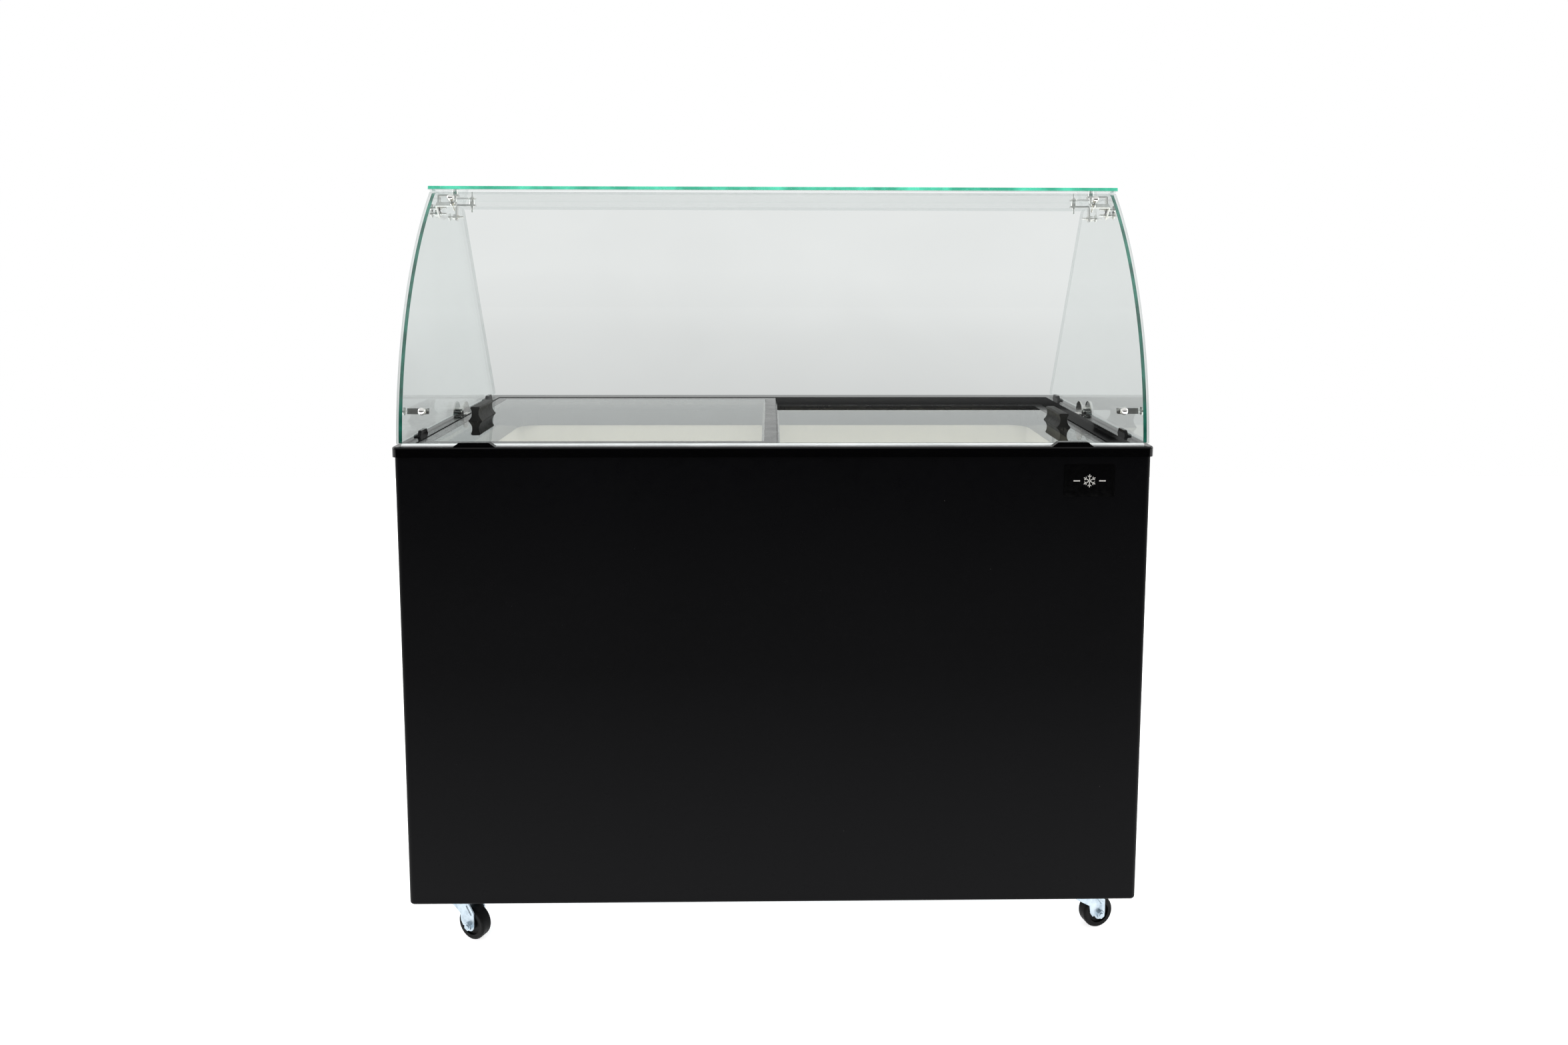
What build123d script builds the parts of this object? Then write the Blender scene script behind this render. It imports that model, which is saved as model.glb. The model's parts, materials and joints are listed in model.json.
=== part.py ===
from build123d import *
import math
import os

os.makedirs("parts", exist_ok=True)

# Chest freezer with a glass counter canopy, on four swivel casters.
# Frame: origin on the floor under the centre of the cabinet, +X to the customer's right,
# +Y towards the operator's side (back), +Z up. All lengths are millimetres.

# Overall
WIDTH = 1265.0
DEPTH = 620.0
RIM_TOP = 880.0
BODY_BOTTOM = 80.0

# Cabinet shell
SHEET = 0.8
BODY_X = 629.0
BODY_Y = 306.5
BODY_CORNER = 10.0
BODY_EDGE = 5.0
FLANGE = 20.0
WRAP_TOP = 870.0
BACK_INNER = BODY_Y - 2 * SHEET
FOAM_BOTTOM = BODY_BOTTOM + 2 * SHEET

# Tank liner and insulation
LINER = 1.0
TANK_X = 554.0
TANK_Y = 247.0
TANK_FLOOR = 146.0
TANK_CORNER = 12.0
STEP_X = 268.0
STEP_Z = 446.0
FOAM_TOP = 821.0
BAY_X = 330.0
BAY_TOP = 385.0

# Top frame: side rails are narrower than the front and back rails
RIM_X = WIDTH / 2
RIM_Y = DEPTH / 2
RIM_CORNER = 12.0
RIM_EDGE = 3.5
LIP_BOTTOM = 863.0
RIM_BOTTOM = 822.0
UPPER_WALL_X, UPPER_WALL_Y = 604.0, 272.0
LOWER_WALL_X, LOWER_WALL_Y = 592.0, 260.0
THROAT_X, THROAT_Y = 552.0, 246.0
THROAT_CORNER = 38.0
UPPER_TRACK = 866.5
LOWER_TRACK = 853.0
CORNER_X, CORNER_Y = 120.0, 104.0
SEAM = 0.25

# Sliding lids
LID_THICK = 12.2
LID_LIFT = 0.2
LID_SIDE = 20.5
LID_STILE = 22.0
LID_LONG = 21.5
LID_GLASS = 4.0
REBATE = 5.0
GASKET_GAP = 0.5
UPPER_LID_X = (-602.5, 4.5)
LOWER_LID_X = (-17.0, 590.0)
UPPER_LID_Y = 271.0
LOWER_LID_Y = 259.0
STILE_LIP = 2.5
HANDLE_LENGTH = 97.0
HANDLE_Y = 8.0
HANDLE_BASE, HANDLE_WAIST, HANDLE_TOP, HANDLE_HEIGHT = 26.0, 13.0, 19.0, 27.5
HANDLE_INSET = 0.5

# Glass canopy
GLASS = 6.0
CURVE_Y, CURVE_Z = 328.0, 840.0
FRONT_RADIUS = 625.0
FRONT_HALF = 627.5
FRONT_TOP_Z = 1309.0
GLASS_BOTTOM = 883.0
SIDE_INNER = 620.0
SIDE_RADIUS = FRONT_RADIUS - GLASS - 1.0
SIDE_TOP_FRONT_Y = -77.0
SIDE_TOP_BACK_Y = 105.0
SIDE_BACK_Y = 307.0
ROOF_SLOPE = 7.2
ROOF_GAP = 2.0
ROOF_HALF = 626.0
ROOF_FRONT_Y, ROOF_BACK_Y = -104.0, 121.0
HOLE = 4.0

# Glass brackets
ARM_THICK = 3.0
ARM_WIDTH = 10.0
SPACER = 5.0
SPACER_R = 5.5
ARM_REACH = 36.0
BOLT_IN = 7.0
BOLT_R = 2.0
BOLT_TAIL = 12.0
NUT_R = 3.6
HEAD_R = 7.0
DOME_R = 6.8

# Chrome clamps at the foot of the side glasses
CLAMP_Y, CLAMP_Z, CLAMP_R = 40.0, 889.0, 19.0

# Casters
CASTER_X = 550.0
CASTER_Y = 260.0
CASTER_HEIGHT = 80.0
WHEEL_R = 28.5
WHEEL_WIDTH = 22.0
TRAIL = 27.0
CROWN_TOP = 70.0
CROWN_BOTTOM = 66.0
FORK_INNER = 12.0
FORK_SHEET = 2.2
AXLE_R = 4.0
RUNNING = 0.05
CASTER_ANGLES = {
    "front_left": (-1, -1, -28.0),
    "front_right": (1, -1, 16.0),
    "back_left": (-1, 1, 150.0),
    "back_right": (1, 1, 40.0),
}

# Machine bay and operator's side
COMPRESSOR_X, COMPRESSOR_Y, COMPRESSOR_R = 480.0, 20.0, 75.0
FAN_X, FAN_Z, FAN_R = 475.0, 200.0, 88.0
GRILLE_X = (338.0, 596.0)
GRILLE_Z = (95.0, 310.0)
PANEL_Z = (322.0, 378.0)
KNOB_X, KNOB_Z, KNOB_R = 400.0, 350.0, 18.0
LAMP_X, GLAND_X = 460.0, 570.0
DRAIN_X, DRAIN_Y = -480.0, 180.0
DRAIN_OUTER, DRAIN_INNER = 12.0, 9.5


def box(x, y, z):
    """An axis-aligned block from three (low, high) pairs."""
    size = [high - low for low, high in (x, y, z)]
    middle = [(low + high) / 2 for low, high in (x, y, z)]
    return Pos(*middle) * Box(*size)


def slab(half_x, half_y, z, corner=0.0):
    """A block centred on the origin in plan, with rounded upright corners."""
    block = box((-half_x, half_x), (-half_y, half_y), z)
    if corner:
        block = fillet(block.edges().filter_by(Axis.Z), corner)
    return block


def rod(start, end, radius):
    """A cylinder between two points."""
    start, end = Vector(*start), Vector(*end)
    along = end - start
    plane = Plane(origin=start, z_dir=along)
    return extrude(plane * Circle(radius), along.length)


def tube(points, radii, radius):
    """A round pipe that follows straight runs joined by tangent bends."""
    path = FilletPolyline(*points, radius=radii)
    start = Plane(origin=path @ 0, z_dir=path % 0)
    return sweep(start * Circle(radius), path=path)


def prism_x(points, x):
    """A flat outline of (y, z) points pushed along X."""
    outline = make_face(Polyline(*[(0, py, pz) for py, pz in points], close=True))
    return Pos(x[0], 0, 0) * extrude(outline, x[1] - x[0], dir=(1, 0, 0))


def both_sides(solid):
    """A solid and its mirror image across the middle of the cabinet."""
    return Compound(children=[solid, mirror(solid, Plane.YZ)])


def front_curve_y(radius, z):
    """The Y of the canopy's front curve at a height, for a given radius."""
    return CURVE_Y - math.sqrt(radius**2 - (z - CURVE_Z) ** 2)


def save(shape, name):
    """Write one sub-part, grouped if it holds several solids."""
    solids = shape.solids()
    export_step(solids[0] if len(solids) == 1 else Compound(children=list(solids)), f"parts/{name}.step")


# ---------------------------------------------------------------- cabinet shell


def outer_wrap():
    """Front and side sheet with folded bottom and back flanges, open at the top and back."""
    z = (BODY_BOTTOM, WRAP_TOP)
    outside = slab(BODY_X, BODY_Y, z, BODY_CORNER)
    outside = fillet(outside.edges().filter_by_position(Axis.Z, z[0] - 0.1, z[0] + 0.1), BODY_EDGE)
    inside_z = (BODY_BOTTOM + SHEET, WRAP_TOP + 1)
    inside = slab(BODY_X - SHEET, BODY_Y - SHEET, inside_z, BODY_CORNER - SHEET)
    low = inside.edges().filter_by_position(Axis.Z, inside_z[0] - 0.1, inside_z[0] + 0.1)
    inside = fillet(low, BODY_EDGE - SHEET)
    floor_cut = slab(BODY_X - FLANGE, BODY_Y - FLANGE, (BODY_BOTTOM - 1, BODY_BOTTOM + 2))
    back_cut = box(
        (-BODY_X + FLANGE, BODY_X - FLANGE), (BODY_Y - FLANGE, BODY_Y + 1), (BODY_BOTTOM + 6, WRAP_TOP + 1)
    )
    return outside - inside - floor_cut - back_cut


def back_panel():
    """Flat back sheet behind the wrap's flanges, with the machine bay's opening."""
    sheet = box(
        (-BODY_X + 10.5, BODY_X - 10.5), (BODY_Y - 2 * SHEET, BODY_Y - SHEET), (BODY_BOTTOM + 6, WRAP_TOP)
    )
    grille_hole = box(GRILLE_X, (BODY_Y - 5, BODY_Y), GRILLE_Z)
    panel_hole = box(GRILLE_X, (BODY_Y - 5, BODY_Y), PANEL_Z)
    return sheet - grille_hole - panel_hole


def base_pan():
    """Bottom sheet that lies on the wrap's flange, with the drain's hole."""
    pan = slab(BODY_X - 5, BODY_Y - 6, (BODY_BOTTOM + SHEET, FOAM_BOTTOM), BODY_CORNER)
    low, high = (DRAIN_X, DRAIN_Y, BODY_BOTTOM - 1), (DRAIN_X, DRAIN_Y, FOAM_BOTTOM + 1)
    return pan - rod(low, high, DRAIN_OUTER + 0.2)


def tank(grow, top):
    """The tank's space, grown outward by the given amount, with the step over the bay."""
    deep = box(
        (-TANK_X - grow, STEP_X + grow), (-TANK_Y - grow, TANK_Y + grow), (TANK_FLOOR - grow, top)
    )
    deep = fillet(deep.edges().filter_by(Axis.Z).sort_by(Axis.X)[:2], TANK_CORNER + grow)
    shallow = box(
        (STEP_X - 5, TANK_X + grow), (-TANK_Y - grow, TANK_Y + grow), (STEP_Z - grow, top)
    )
    shallow = fillet(shallow.edges().filter_by(Axis.Z).sort_by(Axis.X)[-2:], TANK_CORNER + grow)
    return deep + shallow


def inner_liner():
    """Thin stepped tank with a flange that lies on the insulation."""
    flange = slab(TANK_X + 14, TANK_Y + 14, (FOAM_TOP, FOAM_TOP + LINER), TANK_CORNER)
    shell = tank(LINER, FOAM_TOP + LINER) + flange
    hole = rod((DRAIN_X, DRAIN_Y, TANK_FLOOR - 5), (DRAIN_X, DRAIN_Y, TANK_FLOOR + 5), DRAIN_OUTER + 0.2)
    return shell - tank(0, FOAM_TOP + 5) - hole


def foam_insulation():
    """Foamed-in insulation as blocks round the tank, with the machine bay left open."""
    out_x, front, back = BODY_X - SHEET, -BODY_Y + SHEET, BACK_INNER
    in_x, in_y, floor = TANK_X + LINER, TANK_Y + LINER, TANK_FLOOR - LINER
    step, riser = STEP_Z - LINER, STEP_X + LINER
    low, high = (FOAM_BOTTOM, BAY_TOP), (BAY_TOP, FOAM_TOP)
    outline = slab(out_x, BODY_Y - SHEET, (FOAM_BOTTOM, FOAM_TOP), BODY_CORNER)
    outline = chamfer(outline.faces().sort_by(Axis.Z)[0].edges(), BODY_EDGE)
    drain = rod((DRAIN_X, DRAIN_Y, BODY_BOTTOM), (DRAIN_X, DRAIN_Y, TANK_FLOOR + 5), DRAIN_OUTER + 0.2)
    blocks = []
    for y in ((front, -in_y), (in_y, back)):
        blocks.append(box((-out_x, out_x), y, high) & outline)
        blocks.append(box((-out_x, BAY_X), y, low) & outline)
    blocks.append(box((-out_x, -in_x), (-in_y, in_y), (FOAM_BOTTOM, FOAM_TOP)) & outline)
    blocks.append(box((in_x, out_x), (-in_y, in_y), high))
    blocks.append(box((-in_x, BAY_X), (-in_y, in_y), (FOAM_BOTTOM, floor)) - drain)
    blocks.append(box((riser, BAY_X), (-in_y, in_y), (floor, BAY_TOP)))
    blocks.append(box((riser, in_x), (-in_y, in_y), (BAY_TOP, step)))
    return Compound(children=blocks)


def evaporator_coil():
    """One pipe wound round the tank, with both ends led down into the machine bay."""
    loops, pitch, top, pipe_r = 6, 52.0, 765.0, 4.0
    x, y = TANK_X + LINER + 6, TANK_Y + LINER + 6
    points = [(450, y + 14, BAY_TOP - 30), (450, y + 14, top + 34), (60, y + 14, top + 34), (60, y, top)]
    radii = [20, 20, 8, 8]
    for turn in range(loops):
        z = top - pitch * turn
        points += [(x, y, z), (x, -y, z), (-x, -y, z), (-x, y, z), (-60, y, z), (60, y, z - pitch)]
        radii += [20, 20, 20, 20, 15, 15]
    low = top - pitch * loops
    points += [(400, y, low), (400, y, BAY_TOP - 30)]
    radii += [20, 20]
    return tube(points, radii[1:-1], pipe_r)


# ---------------------------------------------------------------- top frame


def frame_ring():
    """The whole top frame before it is cut into rails and corner pieces."""
    ring = slab(RIM_X, RIM_Y, (RIM_BOTTOM, RIM_TOP), RIM_CORNER)
    ring = fillet(ring.edges().filter_by_position(Axis.Z, RIM_TOP - 0.1, RIM_TOP + 0.1), RIM_EDGE)
    ring -= slab(UPPER_WALL_X, UPPER_WALL_Y, (UPPER_TRACK, RIM_TOP + 1), 3)
    ring -= slab(LOWER_WALL_X, LOWER_WALL_Y, (LOWER_TRACK, RIM_TOP + 1), 3)
    ring -= slab(THROAT_X, THROAT_Y, (RIM_BOTTOM - 1, RIM_TOP + 1), THROAT_CORNER)
    inner = slab(BODY_X - SHEET - 0.2, BACK_INNER - 0.2, (RIM_BOTTOM - 1, RIM_TOP + 1), BODY_CORNER - 1)
    outer = slab(BODY_X + 0.2, BODY_Y + 0.2, (RIM_BOTTOM - 1, WRAP_TOP + 0.2), BODY_CORNER + 0.2)
    beyond = slab(RIM_X + 5, RIM_Y + 5, (RIM_BOTTOM - 1, LIP_BOTTOM)) - inner
    return ring - (outer - inner) - beyond


def top_frame():
    """Four rails and four corner pieces with a fine seam between them."""
    ring = frame_ring()
    seam_x, seam_y = RIM_X - CORNER_X, RIM_Y - CORNER_Y
    z = (RIM_BOTTOM - 5, RIM_TOP + 5)
    far = (-RIM_X - 5, RIM_X + 5)
    along_x, along_y = (-seam_x + SEAM, seam_x - SEAM), (-seam_y + SEAM, seam_y - SEAM)
    save(ring & box(along_x, (-RIM_Y - 5, 0), z), "top_frame_front")
    save(ring & box(along_x, (0, RIM_Y + 5), z), "top_frame_back")
    save(ring & box((-RIM_X - 5, 0), along_y, z), "top_frame_left")
    save(ring & box((0, RIM_X + 5), along_y, z), "top_frame_right")
    cross = box((-seam_x, seam_x), far, z) + box(far, (-seam_y, seam_y), z)
    save(ring - cross, "top_frame_corners")


# ---------------------------------------------------------------- sliding lids


def lid(x, half_y, track, stile_first, with_lip):
    """A framed glass lid: returns its frame, its glass and its top height."""
    bottom = track + LID_LIFT
    top = bottom + LID_THICK
    left = LID_STILE if stile_first else LID_SIDE
    right = LID_SIDE if stile_first else LID_STILE
    pane_x, pane_y = (x[0] + left, x[1] - right), half_y - LID_LONG
    ring = box(x, (-half_y, half_y), (bottom, top))
    ring = fillet(ring.edges().filter_by(Axis.Z), 3)
    ring = chamfer(ring.faces().sort_by(Axis.Z)[-1].edges(), 0.8)
    ring -= box(
        (pane_x[0] + REBATE, pane_x[1] - REBATE), (-pane_y + REBATE, pane_y - REBATE), (bottom - 1, top + 1)
    )
    ring -= box(pane_x, (-pane_y, pane_y), (top - LID_GLASS, top + 1))
    if with_lip:
        lip_z = (bottom + 2, bottom + 5)
        ring += box((x[1] - 1, x[1] + STILE_LIP), (-half_y + 8, half_y - 8), lip_z)
    pane = box(
        (pane_x[0] + GASKET_GAP, pane_x[1] - GASKET_GAP),
        (-pane_y + GASKET_GAP, pane_y - GASKET_GAP),
        (top - LID_GLASS, top),
    )
    return ring, pane, top


def handle(middle_x, bottom):
    """A pull bar of hourglass section, pushed along the lid's front-to-back direction."""
    half_base, half_waist, half_top = HANDLE_BASE / 2, HANDLE_WAIST / 2, HANDLE_TOP / 2
    height, nose = HANDLE_HEIGHT, 2.5
    section = (
        Line((-half_base, 0), (half_base, 0))
        + Line((half_base, 0), (half_base, 1.2))
        + ThreePointArc((half_base, 1.2), (half_waist, height * 0.5), (half_top, height - nose))
        + Line((half_top, height - nose), (half_top - nose, height))
        + Line((half_top - nose, height), (-half_top + nose, height))
        + Line((-half_top + nose, height), (-half_top, height - nose))
        + ThreePointArc((-half_top, height - nose), (-half_waist, height * 0.5), (-half_base, 1.2))
        + Line((-half_base, 1.2), (-half_base, 0))
    )
    place = Plane(origin=(middle_x, HANDLE_Y + HANDLE_LENGTH / 2, bottom), x_dir=(1, 0, 0), z_dir=(0, -1, 0))
    return extrude(place * make_face(section), HANDLE_LENGTH)


def lids():
    """The upper lid on the left and the lower lid on the right."""
    for name, x, half_y, track, first, lip in (
        ("left", UPPER_LID_X, UPPER_LID_Y, UPPER_TRACK, False, True),
        ("right", LOWER_LID_X, LOWER_LID_Y, LOWER_TRACK, True, False),
    ):
        ring, pane, top = lid(x, half_y, track, first, lip)
        edge = LID_SIDE + HANDLE_INSET + HANDLE_BASE / 2
        middle = x[1] - edge if first else x[0] + edge
        save(ring, f"lid_{name}_frame")
        save(pane, f"lid_{name}_glass")
        save(handle(middle, top), f"lid_{name}_handle")


# ---------------------------------------------------------------- glass canopy


def roof_line(y):
    """Height of the side glasses' sloping top edge."""
    front_z = CURVE_Z + math.sqrt(SIDE_RADIUS**2 - (SIDE_TOP_FRONT_Y - CURVE_Y) ** 2)
    return front_z - (y - SIDE_TOP_FRONT_Y) * math.tan(math.radians(ROOF_SLOPE))


def curve_point(radius, z):
    """A (y, z) point on the canopy's front curve."""
    return front_curve_y(radius, z), z


def bracket_places():
    """Each bracket as (glass point, inward direction) in the YZ plane."""
    down = (-math.sin(math.radians(ROOF_SLOPE)), -math.cos(math.radians(ROOF_SLOPE)))
    places = []
    for y in (33.0, -74.0):
        places.append(((y, roof_line(y) + ROOF_GAP / math.cos(math.radians(ROOF_SLOPE))), down))
    for z in (1290.0, 936.0):
        point = curve_point(FRONT_RADIUS - GLASS, z)
        inner = FRONT_RADIUS - GLASS
        toward = ((CURVE_Y - point[0]) / inner, (CURVE_Z - point[1]) / inner)
        places.append((point, toward))
    return places


BRACKETS = bracket_places()
FRONT_BOLT_X = SIDE_INNER - ARM_REACH
SIDE_BOLT_DEPTH = ARM_REACH - BOLT_IN


def bracket_hole_points():
    """Centres of the side glasses' holes, one for each bracket."""
    return [(p[0] + n[0] * SIDE_BOLT_DEPTH, p[1] + n[1] * SIDE_BOLT_DEPTH) for p, n in BRACKETS]


def side_glass():
    """Right-hand side pane: curved front edge, sloping top, raked back edge."""
    start = curve_point(SIDE_RADIUS, GLASS_BOTTOM)
    middle = curve_point(SIDE_RADIUS, 1100.0)
    end = (SIDE_TOP_FRONT_Y, roof_line(SIDE_TOP_FRONT_Y))
    back = (SIDE_TOP_BACK_Y, roof_line(SIDE_TOP_BACK_Y))
    low = (SIDE_BACK_Y, GLASS_BOTTOM)
    at = [(0, *p) for p in (start, middle, end, back, low)]
    outline = ThreePointArc(at[0], at[1], at[2]) + Polyline(*at[2:], at[0])
    pane = Pos(SIDE_INNER, 0, 0) * extrude(make_face(outline), GLASS, dir=(1, 0, 0))
    upright = pane.edges().filter_by(Axis.X)
    pane = fillet(upright.group_by(Axis.Z)[-2], 15)
    pane = fillet(pane.edges().filter_by(Axis.X).sort_by(Axis.Y)[-1], 4)
    for y, z in bracket_hole_points() + [(CLAMP_Y, CLAMP_Z)]:
        pane -= rod((SIDE_INNER - 1, y, z), (SIDE_INNER + GLASS + 1, y, z), HOLE)
    return pane


def front_glass():
    """Curved front pane over the full width."""
    low, high = [math.asin((z - CURVE_Z) / FRONT_RADIUS) for z in (GLASS_BOTTOM, FRONT_TOP_Z)]

    def at(radius, angle):
        return (0, CURVE_Y - radius * math.cos(angle), CURVE_Z + radius * math.sin(angle))

    inner, mid = FRONT_RADIUS - GLASS, (low + high) / 2
    outline = (
        ThreePointArc(at(FRONT_RADIUS, low), at(FRONT_RADIUS, mid), at(FRONT_RADIUS, high))
        + Line(at(FRONT_RADIUS, high), at(inner, high))
        + ThreePointArc(at(inner, high), at(inner, mid), at(inner, low))
        + Line(at(inner, low), at(FRONT_RADIUS, low))
    )
    pane = Pos(-FRONT_HALF, 0, 0) * extrude(make_face(outline), 2 * FRONT_HALF, dir=(1, 0, 0))
    for point, toward in BRACKETS[2:]:
        for side in (-1, 1):
            pane -= bolt_rod(side, point, toward, -GLASS - 2, 2, HOLE)
    return pane


def top_glass():
    """Flat roof pane that falls gently towards the operator."""
    lift = ROOF_GAP / math.cos(math.radians(ROOF_SLOPE))
    rise = GLASS / math.cos(math.radians(ROOF_SLOPE))
    front, back = ROOF_FRONT_Y, ROOF_BACK_Y
    points = [
        (front, roof_line(front) + lift),
        (back, roof_line(back) + lift),
        (back, roof_line(back) + lift + rise),
        (front, roof_line(front) + lift + rise),
    ]
    pane = prism_x(points, (-ROOF_HALF, ROOF_HALF))
    pane = fillet(pane.edges().filter_by(Axis.X), 0.8)
    for point, toward in BRACKETS[:2]:
        for side in (-1, 1):
            pane -= bolt_rod(side, point, toward, -GLASS - 2, 2, HOLE)
    return pane


def bolt_rod(side, point, toward, start, end, radius):
    """A rod through a front or top pane's bolt hole; depths are measured inward from the inner face."""
    low = (side * FRONT_BOLT_X, point[0] + toward[0] * start, point[1] + toward[1] * start)
    high = (side * FRONT_BOLT_X, point[0] + toward[0] * end, point[1] + toward[1] * end)
    return rod(low, high, radius)


def side_rod(point, x, radius):
    """A rod along X through a side pane's bolt hole."""
    return rod((x[0], *point), (x[1], *point), radius)


def glass_bracket(point, toward):
    """One right-hand angle bracket: an arm along the pane and an arm along the side glass."""
    plane = Plane(origin=(0, *point), x_dir=(1, 0, 0), z_dir=(0, *toward))
    outer = SIDE_INNER - SPACER
    tip = FRONT_BOLT_X - BOLT_IN
    along = Box(outer - tip, ARM_WIDTH, ARM_THICK, align=(Align.MIN, Align.CENTER, Align.MIN))
    inward = Box(ARM_THICK, ARM_WIDTH, ARM_REACH - SPACER, align=(Align.MIN, Align.CENTER, Align.MIN))
    arms = Pos(tip, 0, SPACER) * along + Pos(outer - ARM_THICK, 0, SPACER) * inward
    arms = fillet(arms.edges().filter_by(Axis.Y).filter_by_position(Axis.X, outer - 0.1, outer + 0.1)
                  .sort_by(Axis.Z)[0], 3)
    shape = plane.location * arms
    hole = (point[0] + toward[0] * SIDE_BOLT_DEPTH, point[1] + toward[1] * SIDE_BOLT_DEPTH)
    shape -= bolt_rod(1, point, toward, 0, SPACER + ARM_THICK + 1, BOLT_R)
    return shape - side_rod(hole, (outer - ARM_THICK - 1, outer + 1), BOLT_R)


def bracket_fixings(point, toward, domed):
    """The two bolts of one right-hand bracket, each with its spacer disc, nut and outer head."""
    clamp = SPACER + ARM_THICK
    clear = 0.1 if domed else 0.0
    first = bolt_rod(1, point, toward, -GLASS - 1, clamp + BOLT_TAIL, BOLT_R)
    first += bolt_rod(1, point, toward, clear, SPACER, SPACER_R)
    first += bolt_rod(1, point, toward, clamp, clamp + 3, NUT_R)
    if domed:
        centre = [point[i] - toward[i] * (GLASS + DOME_R * 0.55) for i in (0, 1)]
        ball = Pos(FRONT_BOLT_X, *centre) * Sphere(DOME_R)
        past = bolt_rod(1, point, toward, -GLASS - clear, GLASS, DOME_R + 1)
        first += ball - past
    else:
        first += bolt_rod(1, point, toward, -GLASS - 2, -GLASS, HEAD_R)
    hole = (point[0] + toward[0] * SIDE_BOLT_DEPTH, point[1] + toward[1] * SIDE_BOLT_DEPTH)
    inner = SIDE_INNER - clamp
    second = side_rod(hole, (inner - BOLT_TAIL, SIDE_INNER + GLASS), BOLT_R)
    second += side_rod(hole, (SIDE_INNER - SPACER, SIDE_INNER), SPACER_R)
    second += side_rod(hole, (inner - 3, inner), NUT_R)
    second += side_rod(hole, (SIDE_INNER + GLASS, SIDE_INNER + GLASS + 2), HEAD_R)
    return [first, second]


def glass_fittings():
    """Brackets and their fixings on both sides."""
    brackets, fixings = [], []
    for number, (point, toward) in enumerate(BRACKETS):
        brackets.append(glass_bracket(point, toward))
        fixings += bracket_fixings(point, toward, number > 1)
    save(Compound(children=[both_sides(b) for b in brackets]), "glass_brackets")
    save(Compound(children=[both_sides(f) for f in fixings]), "bracket_fixings")


def glass_clamps():
    """Right-hand chrome clamp: two D plates and a hub through the glass, over a foot plate."""
    flat = 881.5
    plate_x = (SIDE_INNER - 11.5, SIDE_INNER - 8.5)
    outer_x = (SIDE_INNER + GLASS + 0.2, SIDE_INNER + GLASS + 2.4)
    centre_z = 886.0

    def d_plate(x):
        disc = side_rod((CLAMP_Y, centre_z), x, CLAMP_R)
        lower = box(x, (CLAMP_Y - CLAMP_R, CLAMP_Y + CLAMP_R), (flat, centre_z))
        below = box((x[0] - 1, x[1] + 1), (CLAMP_Y - 30, CLAMP_Y + 30), (flat - 30, flat))
        return disc + lower - below

    body = d_plate(plate_x) + d_plate(outer_x)
    body += side_rod((CLAMP_Y, CLAMP_Z), (plate_x[1], SIDE_INNER - 0.2), 7.2)
    body += side_rod((CLAMP_Y, CLAMP_Z), (plate_x[1], outer_x[0]), HOLE - 0.4)
    foot = box((604.5, 631.0), (CLAMP_Y - 14, CLAMP_Y + 14), (RIM_TOP, RIM_TOP + 1.2))
    save(Compound(children=[both_sides(body), both_sides(foot)]), "glass_clamps")
    pad = box((SIDE_INNER, SIDE_INNER + GLASS), (CLAMP_Y - 12, CLAMP_Y + 12), (RIM_TOP + 1.2, GLASS_BOTTOM))
    save(both_sides(pad), "clamp_pads")


def side_glass_clips():
    """Black humped clips that carry the side glasses and stop them from the inside."""
    clips = []
    base, top, height = 20.0, 13.0, 10.0
    for middle in (-195.0, 233.0):
        profile = [
            (middle - base, RIM_TOP),
            (middle + base, RIM_TOP),
            (middle + top, RIM_TOP + height),
            (middle - top, RIM_TOP + height),
        ]
        hump = prism_x(profile, (SIDE_INNER - 6, SIDE_INNER + GLASS))
        hump = fillet(hump.edges().filter_by(Axis.X).group_by(Axis.Z)[-1], 3)
        slot_x = (SIDE_INNER - 0.2, SIDE_INNER + GLASS + 1)
        slot = box(slot_x, (middle - 40, middle + 40), (GLASS_BOTTOM, RIM_TOP + 30))
        clips.append(both_sides(hump - slot))
    return Compound(children=clips)


def front_glass_shoes():
    """Two trapezoid stops on the rim in front of the curved glass."""
    middle, base, top, height = 496.0, 34.5, 24.5, 7.5
    outline = Polyline((-base, 0), (base, 0), (top, height), (-top, height), close=True)
    place = Plane(origin=(middle, -296.3, RIM_TOP), x_dir=(1, 0, 0), z_dir=(0, -1, 0))
    shoe = extrude(place * make_face(outline), 12.0)
    shoe = fillet(shoe.edges().filter_by(Axis.Y).group_by(Axis.Z)[-1], 2.5)
    return both_sides(shoe)


def front_glass_seal():
    """Clear strip that the curved glass stands on."""
    outer = front_curve_y(FRONT_RADIUS, GLASS_BOTTOM) - 0.4
    inner = front_curve_y(FRONT_RADIUS - GLASS, GLASS_BOTTOM) + 0.4
    return box((-619.0, 619.0), (outer, inner), (RIM_TOP, GLASS_BOTTOM - 0.5))


# ---------------------------------------------------------------- casters


def caster_place(side_x, side_y, angle):
    """The location of a caster's own frame, whose +X is its trailing direction."""
    return Pos(side_x * CASTER_X, side_y * CASTER_Y, 0) * Rot(0, 0, angle)


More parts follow.
